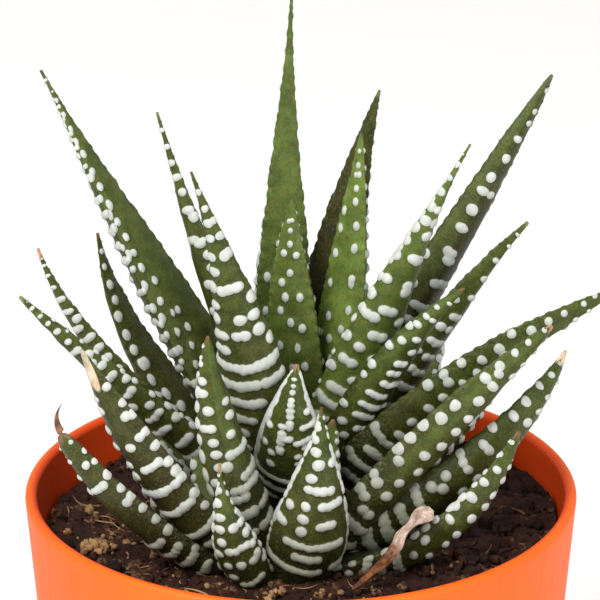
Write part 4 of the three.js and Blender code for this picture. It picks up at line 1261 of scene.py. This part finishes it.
def with_wisp(leaf, rings, colour, edges):
    """Puts a withered thread before the tip's ring: that ring, widened and then narrowing, carried along
    a short curve from its end back to the tip."""
    bend, end = (np.add(leaf.tip, offset) for offset in leaf.look["wisp"])
    share = np.linspace(1, 0, WISP_ROWS)
    centre, _ = bezier(leaf.tip, bend, end, share)
    ring = rings[0] - rings[0].mean(0)
    thread = centre[:, None] + ring * (WISP_TIP_WIDTH - WISP_NARROWING * share[:, None, None])
    bands = 1 + WISP_BANDS * np.sin(WISP_BAND_TURNS * share)[:, None, None]
    brown = np.array((*WISP_BROWN, 1)) * bands
    brown = np.broadcast_to(brown, (*thread.shape[:2], 4))
    return (np.vstack([thread[:-1], rings]), np.vstack([brown[:-1], colour]),
            np.vstack([np.full(thread.shape[:2], -1.0)[:-1], edges]))


LEAF_SEED = 100


class HAWORTHIA_OT_leaves(bpy.types.Operator):
    """The leaves of the three rosettes, each with its raised tubercles"""

    bl_idname = "haworthia.leaves"
    bl_label = "Leaves"

    def execute(self, context):
        leaves = context.scene.haworthia_leaves
        material = leaf_material(leaves)
        for number, leaf in enumerate(LEAVES):
            rings, attributes = leaf_skin(leaf, leaves, LEAF_SEED + number)
            quads, fans = skin_faces(*rings.shape[:2])
            name = leaf.name.replace("leaf_", "blade_", 1)
            blade = mesh_object(name, skin_points(rings), quads, fans, material, attributes)
            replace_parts(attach(blade, "root"), leaf.name)
        return {"FINISHED"}


# ---------------------------------------------------------------- the dry leaf

# Points that the leaf's middle runs through, from its lower end up, and its width at each.
DRY_LINE = ((5.5, -18.5, 49.7), (8.5, -17.5, 52.2), (11.3, -16.2, 54.8), (14, -15, 57.6))
DRY_WIDTHS = (0.9, 1.2, 2.2, 3.0)
DRY_THICKNESS = 0.3
DRY_ROWS = 90
DRY_COLUMNS = 24
DRY_END = 0.95          # share of the length from which the upper end narrows
DRY_FOOT = 0.12         # and up to which the lower end widens
NARROWEST = 0.5         # width left at both ends
RAGGED_EDGE, RAGGED_EDGE_TURNS = 0.22, 23       # of the width, growing towards the upper end
OPENING, OPENING_SWING, OPENING_TURNS = 0.95, 0.35, 5   # half the arc's angle
TWIST, TWIST_GAIN, TWIST_SWING, TWIST_TURNS = -0.3, 0.4, 0.3, 11
SECTION_DROP = 0.6      # of the arc's radius, which puts the sheet on its line
CRUMPLE, CRUMPLE_CELLS, CRUMPLES_ACROSS = 0.12, 14, 3   # of the arc's radius, along and to each side
CRUMPLE_SEED, BLOTCH_SEED = 5, 3
BLOTCH_CELLS, BLOTCHES_AROUND = 16, 5   # along and around
BLOTCH_EDGES, PALE_EDGES = (0.4, 0.65), (0.4, 0.62)
DRY_TAN, DRY_CREAM, DRY_RUST = (np.array(linear(*c)) for c in ((146, 92, 56), (236, 214, 200), (84, 46, 26)))


def dry_leaf_skin():
    """A thin curled sheet: its section is an arc whose opening and twist change along the line as sines,
    with ragged edges, and its inner side is the same arc moved in by the thickness."""
    t = np.linspace(0, 1, DRY_ROWS)
    line = np.array(DRY_LINE)
    knots = np.linspace(0, 1, len(line))
    centre = np.stack([np.polyval(np.polyfit(knots, line[:, i], 3), t) for i in range(3)], -1)
    along = unit_rows(np.gradient(centre, axis=0))
    side = unit_rows(np.cross(UP, along))
    up = np.cross(along, side)
    width = np.interp(t, knots, DRY_WIDTHS) * (1 + RAGGED_EDGE * np.sin(RAGGED_EDGE_TURNS * t) * t)
    width = width * (1 - (1 - NARROWEST) * smooth_step(DRY_END, 1.0, t))
    width = width * (NARROWEST + (1 - NARROWEST) * smooth_step(0, DRY_FOOT, t))
    opening = OPENING + OPENING_SWING * np.sin(OPENING_TURNS * t + 1)
    radius = width / (2 * np.sin(opening))
    span = np.linspace(-1, 1, DRY_COLUMNS)
    twist = TWIST_SWING * np.sin(TWIST_TURNS * t) + TWIST_GAIN * t + TWIST
    angle = span[None] * opening[:, None] + twist[:, None]
    folds = value_noise(t[:, None] * CRUMPLE_CELLS, span[None] * CRUMPLES_ACROSS, 1.0, CRUMPLE_SEED)
    crumple = 1 + CRUMPLE * (folds - 0.5)
    sheets = []
    for sheet_radius in (radius, radius - DRY_THICKNESS):
        reach = sheet_radius[:, None] * crumple
        across, rise = reach * np.sin(angle), reach * np.cos(angle) - radius[:, None] * SECTION_DROP
        sheets.append(centre[:, None] + across[..., None] * side[:, None] + rise[..., None] * up[:, None])
    return np.concatenate([sheets[0], sheets[1][:, ::-1]], 1)


def dry_leaf_colours():
    """Tan below and cream above, with blotches of rust where layered noise is high."""
    t = np.linspace(0, 1, DRY_ROWS)
    around = np.linspace(0, BLOTCHES_AROUND, 2 * DRY_COLUMNS)[None]
    spots = layered_noise(t[:, None] * BLOTCH_CELLS, around, 1.0, 2, BLOTCH_SEED)
    blotch = smooth_step(*BLOTCH_EDGES, spots)
    pale = smooth_step(*PALE_EDGES, t + 0.2 * (blotch.mean(1) - 0.5))[:, None]
    colour = DRY_TAN + (DRY_CREAM - DRY_TAN) * pale[..., None]
    colour = colour + (DRY_RUST - colour) * (blotch * (0.8 - 0.55 * pale))[..., None]
    return np.concatenate([colour, np.ones((*colour.shape[:2], 1))], -1)


class HAWORTHIA_OT_dry_leaf(bpy.types.Operator):
    """The withered, curled leaf that lies on the peat at the right front"""

    bl_idname = "haworthia.dry_leaf"
    bl_label = "Dry leaf"

    def execute(self, context):
        rings = dry_leaf_skin()
        quads, fans = skin_faces(*rings.shape[:2])
        curl = mesh_object("withered_leaf", skin_points(rings), quads, fans, dry_material(),
                           {"body": skin_values(dry_leaf_colours())})
        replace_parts(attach(curl, "root"), "dry_leaf")
        return {"FINISHED"}


# ---------------------------------------------------------------- stage

RIM_TO_VIEW = 20.6      # from the rim's middle up to the middle of the view, across the line of sight
VIEW_SHIFT = -0.1       # of the view's middle along X
NEAREST, FARTHEST = 0.01, 20    # metres that the camera sees between
FLOOR_REACH = 3.0       # metres
LIGHT_TARGET = (0, 0, 0.06)     # this, and the lights' places and sizes, in metres
KEY_PLACE, KEY_SIZE, KEY_TINT = (-0.42, -0.7, 1.0), 0.55, (1, 0.985, 0.96)
FILL_PLACE, FILL_SIZE, FILL_SHARE = (0.8, -0.7, 0.35), 0.8, 0.25


def aimed_light(name, place, size, power, colour=(1, 1, 1)):
    """A square area light at place, in metres, turned to face the plant."""
    data = bpy.data.lights.new(name, "AREA")
    data.shape, data.size, data.energy, data.color = "SQUARE", size, power, colour
    lamp = bpy.data.objects.new(name, data)
    lamp.location = place
    lamp.rotation_euler = (Vector(LIGHT_TARGET) - Vector(place)).to_track_quat("-Z", "Y").to_euler()
    bpy.context.scene.collection.objects.link(lamp)


class HAWORTHIA_OT_stage(bpy.types.Operator):
    """The camera, the pale floor and the soft lights"""

    bl_idname = "haworthia.stage"
    bl_label = "Stage"

    def execute(self, context):
        scene, stage = context.scene, context.scene.haworthia_stage
        up = stage.camera_elevation
        toward_camera = Vector((0, -math.cos(up), math.sin(up)))
        view_up = Vector((0, math.sin(up), math.cos(up)))
        middle = Vector((VIEW_SHIFT * MM, 0, POT_HIGH.z)) + view_up * RIM_TO_VIEW * MM
        data = bpy.data.cameras.new("front_camera")
        data.lens = data.sensor_width * stage.camera_distance / stage.view_width
        data.clip_start, data.clip_end = NEAREST, FARTHEST
        camera = bpy.data.objects.new("front_camera", data)
        camera.location = middle + toward_camera * stage.camera_distance
        camera.rotation_euler = (-toward_camera).to_track_quat("-Z", "Y").to_euler()
        scene.collection.objects.link(camera)
        scene.camera = camera

        corners = np.array([(-1, -1, 0), (1, -1, 0), (1, 1, 0), (-1, 1, 0)]) * FLOOR_REACH / MM
        floor = mesh_object("floor", corners, [(0, 1, 2, 3)], [], floor_material(stage.floor_colour))

        aimed_light("key", KEY_PLACE, KEY_SIZE, stage.key_power, KEY_TINT)
        aimed_light("fill", FILL_PLACE, FILL_SIZE, stage.key_power * FILL_SHARE)
        world = bpy.data.worlds.new("even_sky")
        world.use_nodes = True
        sky = world.node_tree.nodes["Background"]
        sky.inputs["Color"].default_value = (1, 1, 1, 1)
        sky.inputs["Strength"].default_value = stage.sky
        scene.world = world
        scene.view_settings.view_transform = "Standard"
        scene.view_settings.look = "None"
        return {"FINISHED"}


# ---------------------------------------------------------------- panel and registration


class HAWORTHIA_PT_panel(bpy.types.Panel):
    """Lists the pieces and their sizes in the sidebar"""

    bl_label = "Haworthia"
    bl_idname = "HAWORTHIA_PT_panel"
    bl_space_type = "VIEW_3D"
    bl_region_type = "UI"
    bl_category = "Haworthia"

    def draw(self, context):
        for kind in GROUPS:
            group = getattr(context.scene, GROUPS[kind])
            box = self.layout.box()
            for name in kind.__annotations__:
                box.prop(group, name)
        for operator in OPERATORS:
            self.layout.operator(operator.bl_idname)


GROUPS = {
    HaworthiaPot: "haworthia_pot",
    HaworthiaSoil: "haworthia_soil",
    HaworthiaLeaves: "haworthia_leaves",
    HaworthiaStage: "haworthia_stage",
}
OPERATORS = (
    HAWORTHIA_OT_stage,
    HAWORTHIA_OT_pot,
    HAWORTHIA_OT_peat,
    HAWORTHIA_OT_crowns,
    HAWORTHIA_OT_leaves,
    HAWORTHIA_OT_dry_leaf,
)
CLASSES = (*GROUPS, *OPERATORS, HAWORTHIA_PT_panel)


def register():
    for kind in CLASSES:
        bpy.utils.register_class(kind)
    for kind, name in GROUPS.items():
        setattr(bpy.types.Scene, name, PointerProperty(type=kind))


def unregister():
    for name in GROUPS.values():
        delattr(bpy.types.Scene, name)
    for kind in reversed(CLASSES):
        bpy.utils.unregister_class(kind)


def main():
    register()
    bpy.ops.haworthia.stage()
    bpy.ops.haworthia.pot()
    bpy.ops.haworthia.peat()
    bpy.ops.haworthia.crowns()
    bpy.ops.haworthia.leaves()
    bpy.ops.haworthia.dry_leaf()


if __name__ == "__main__":
    main()
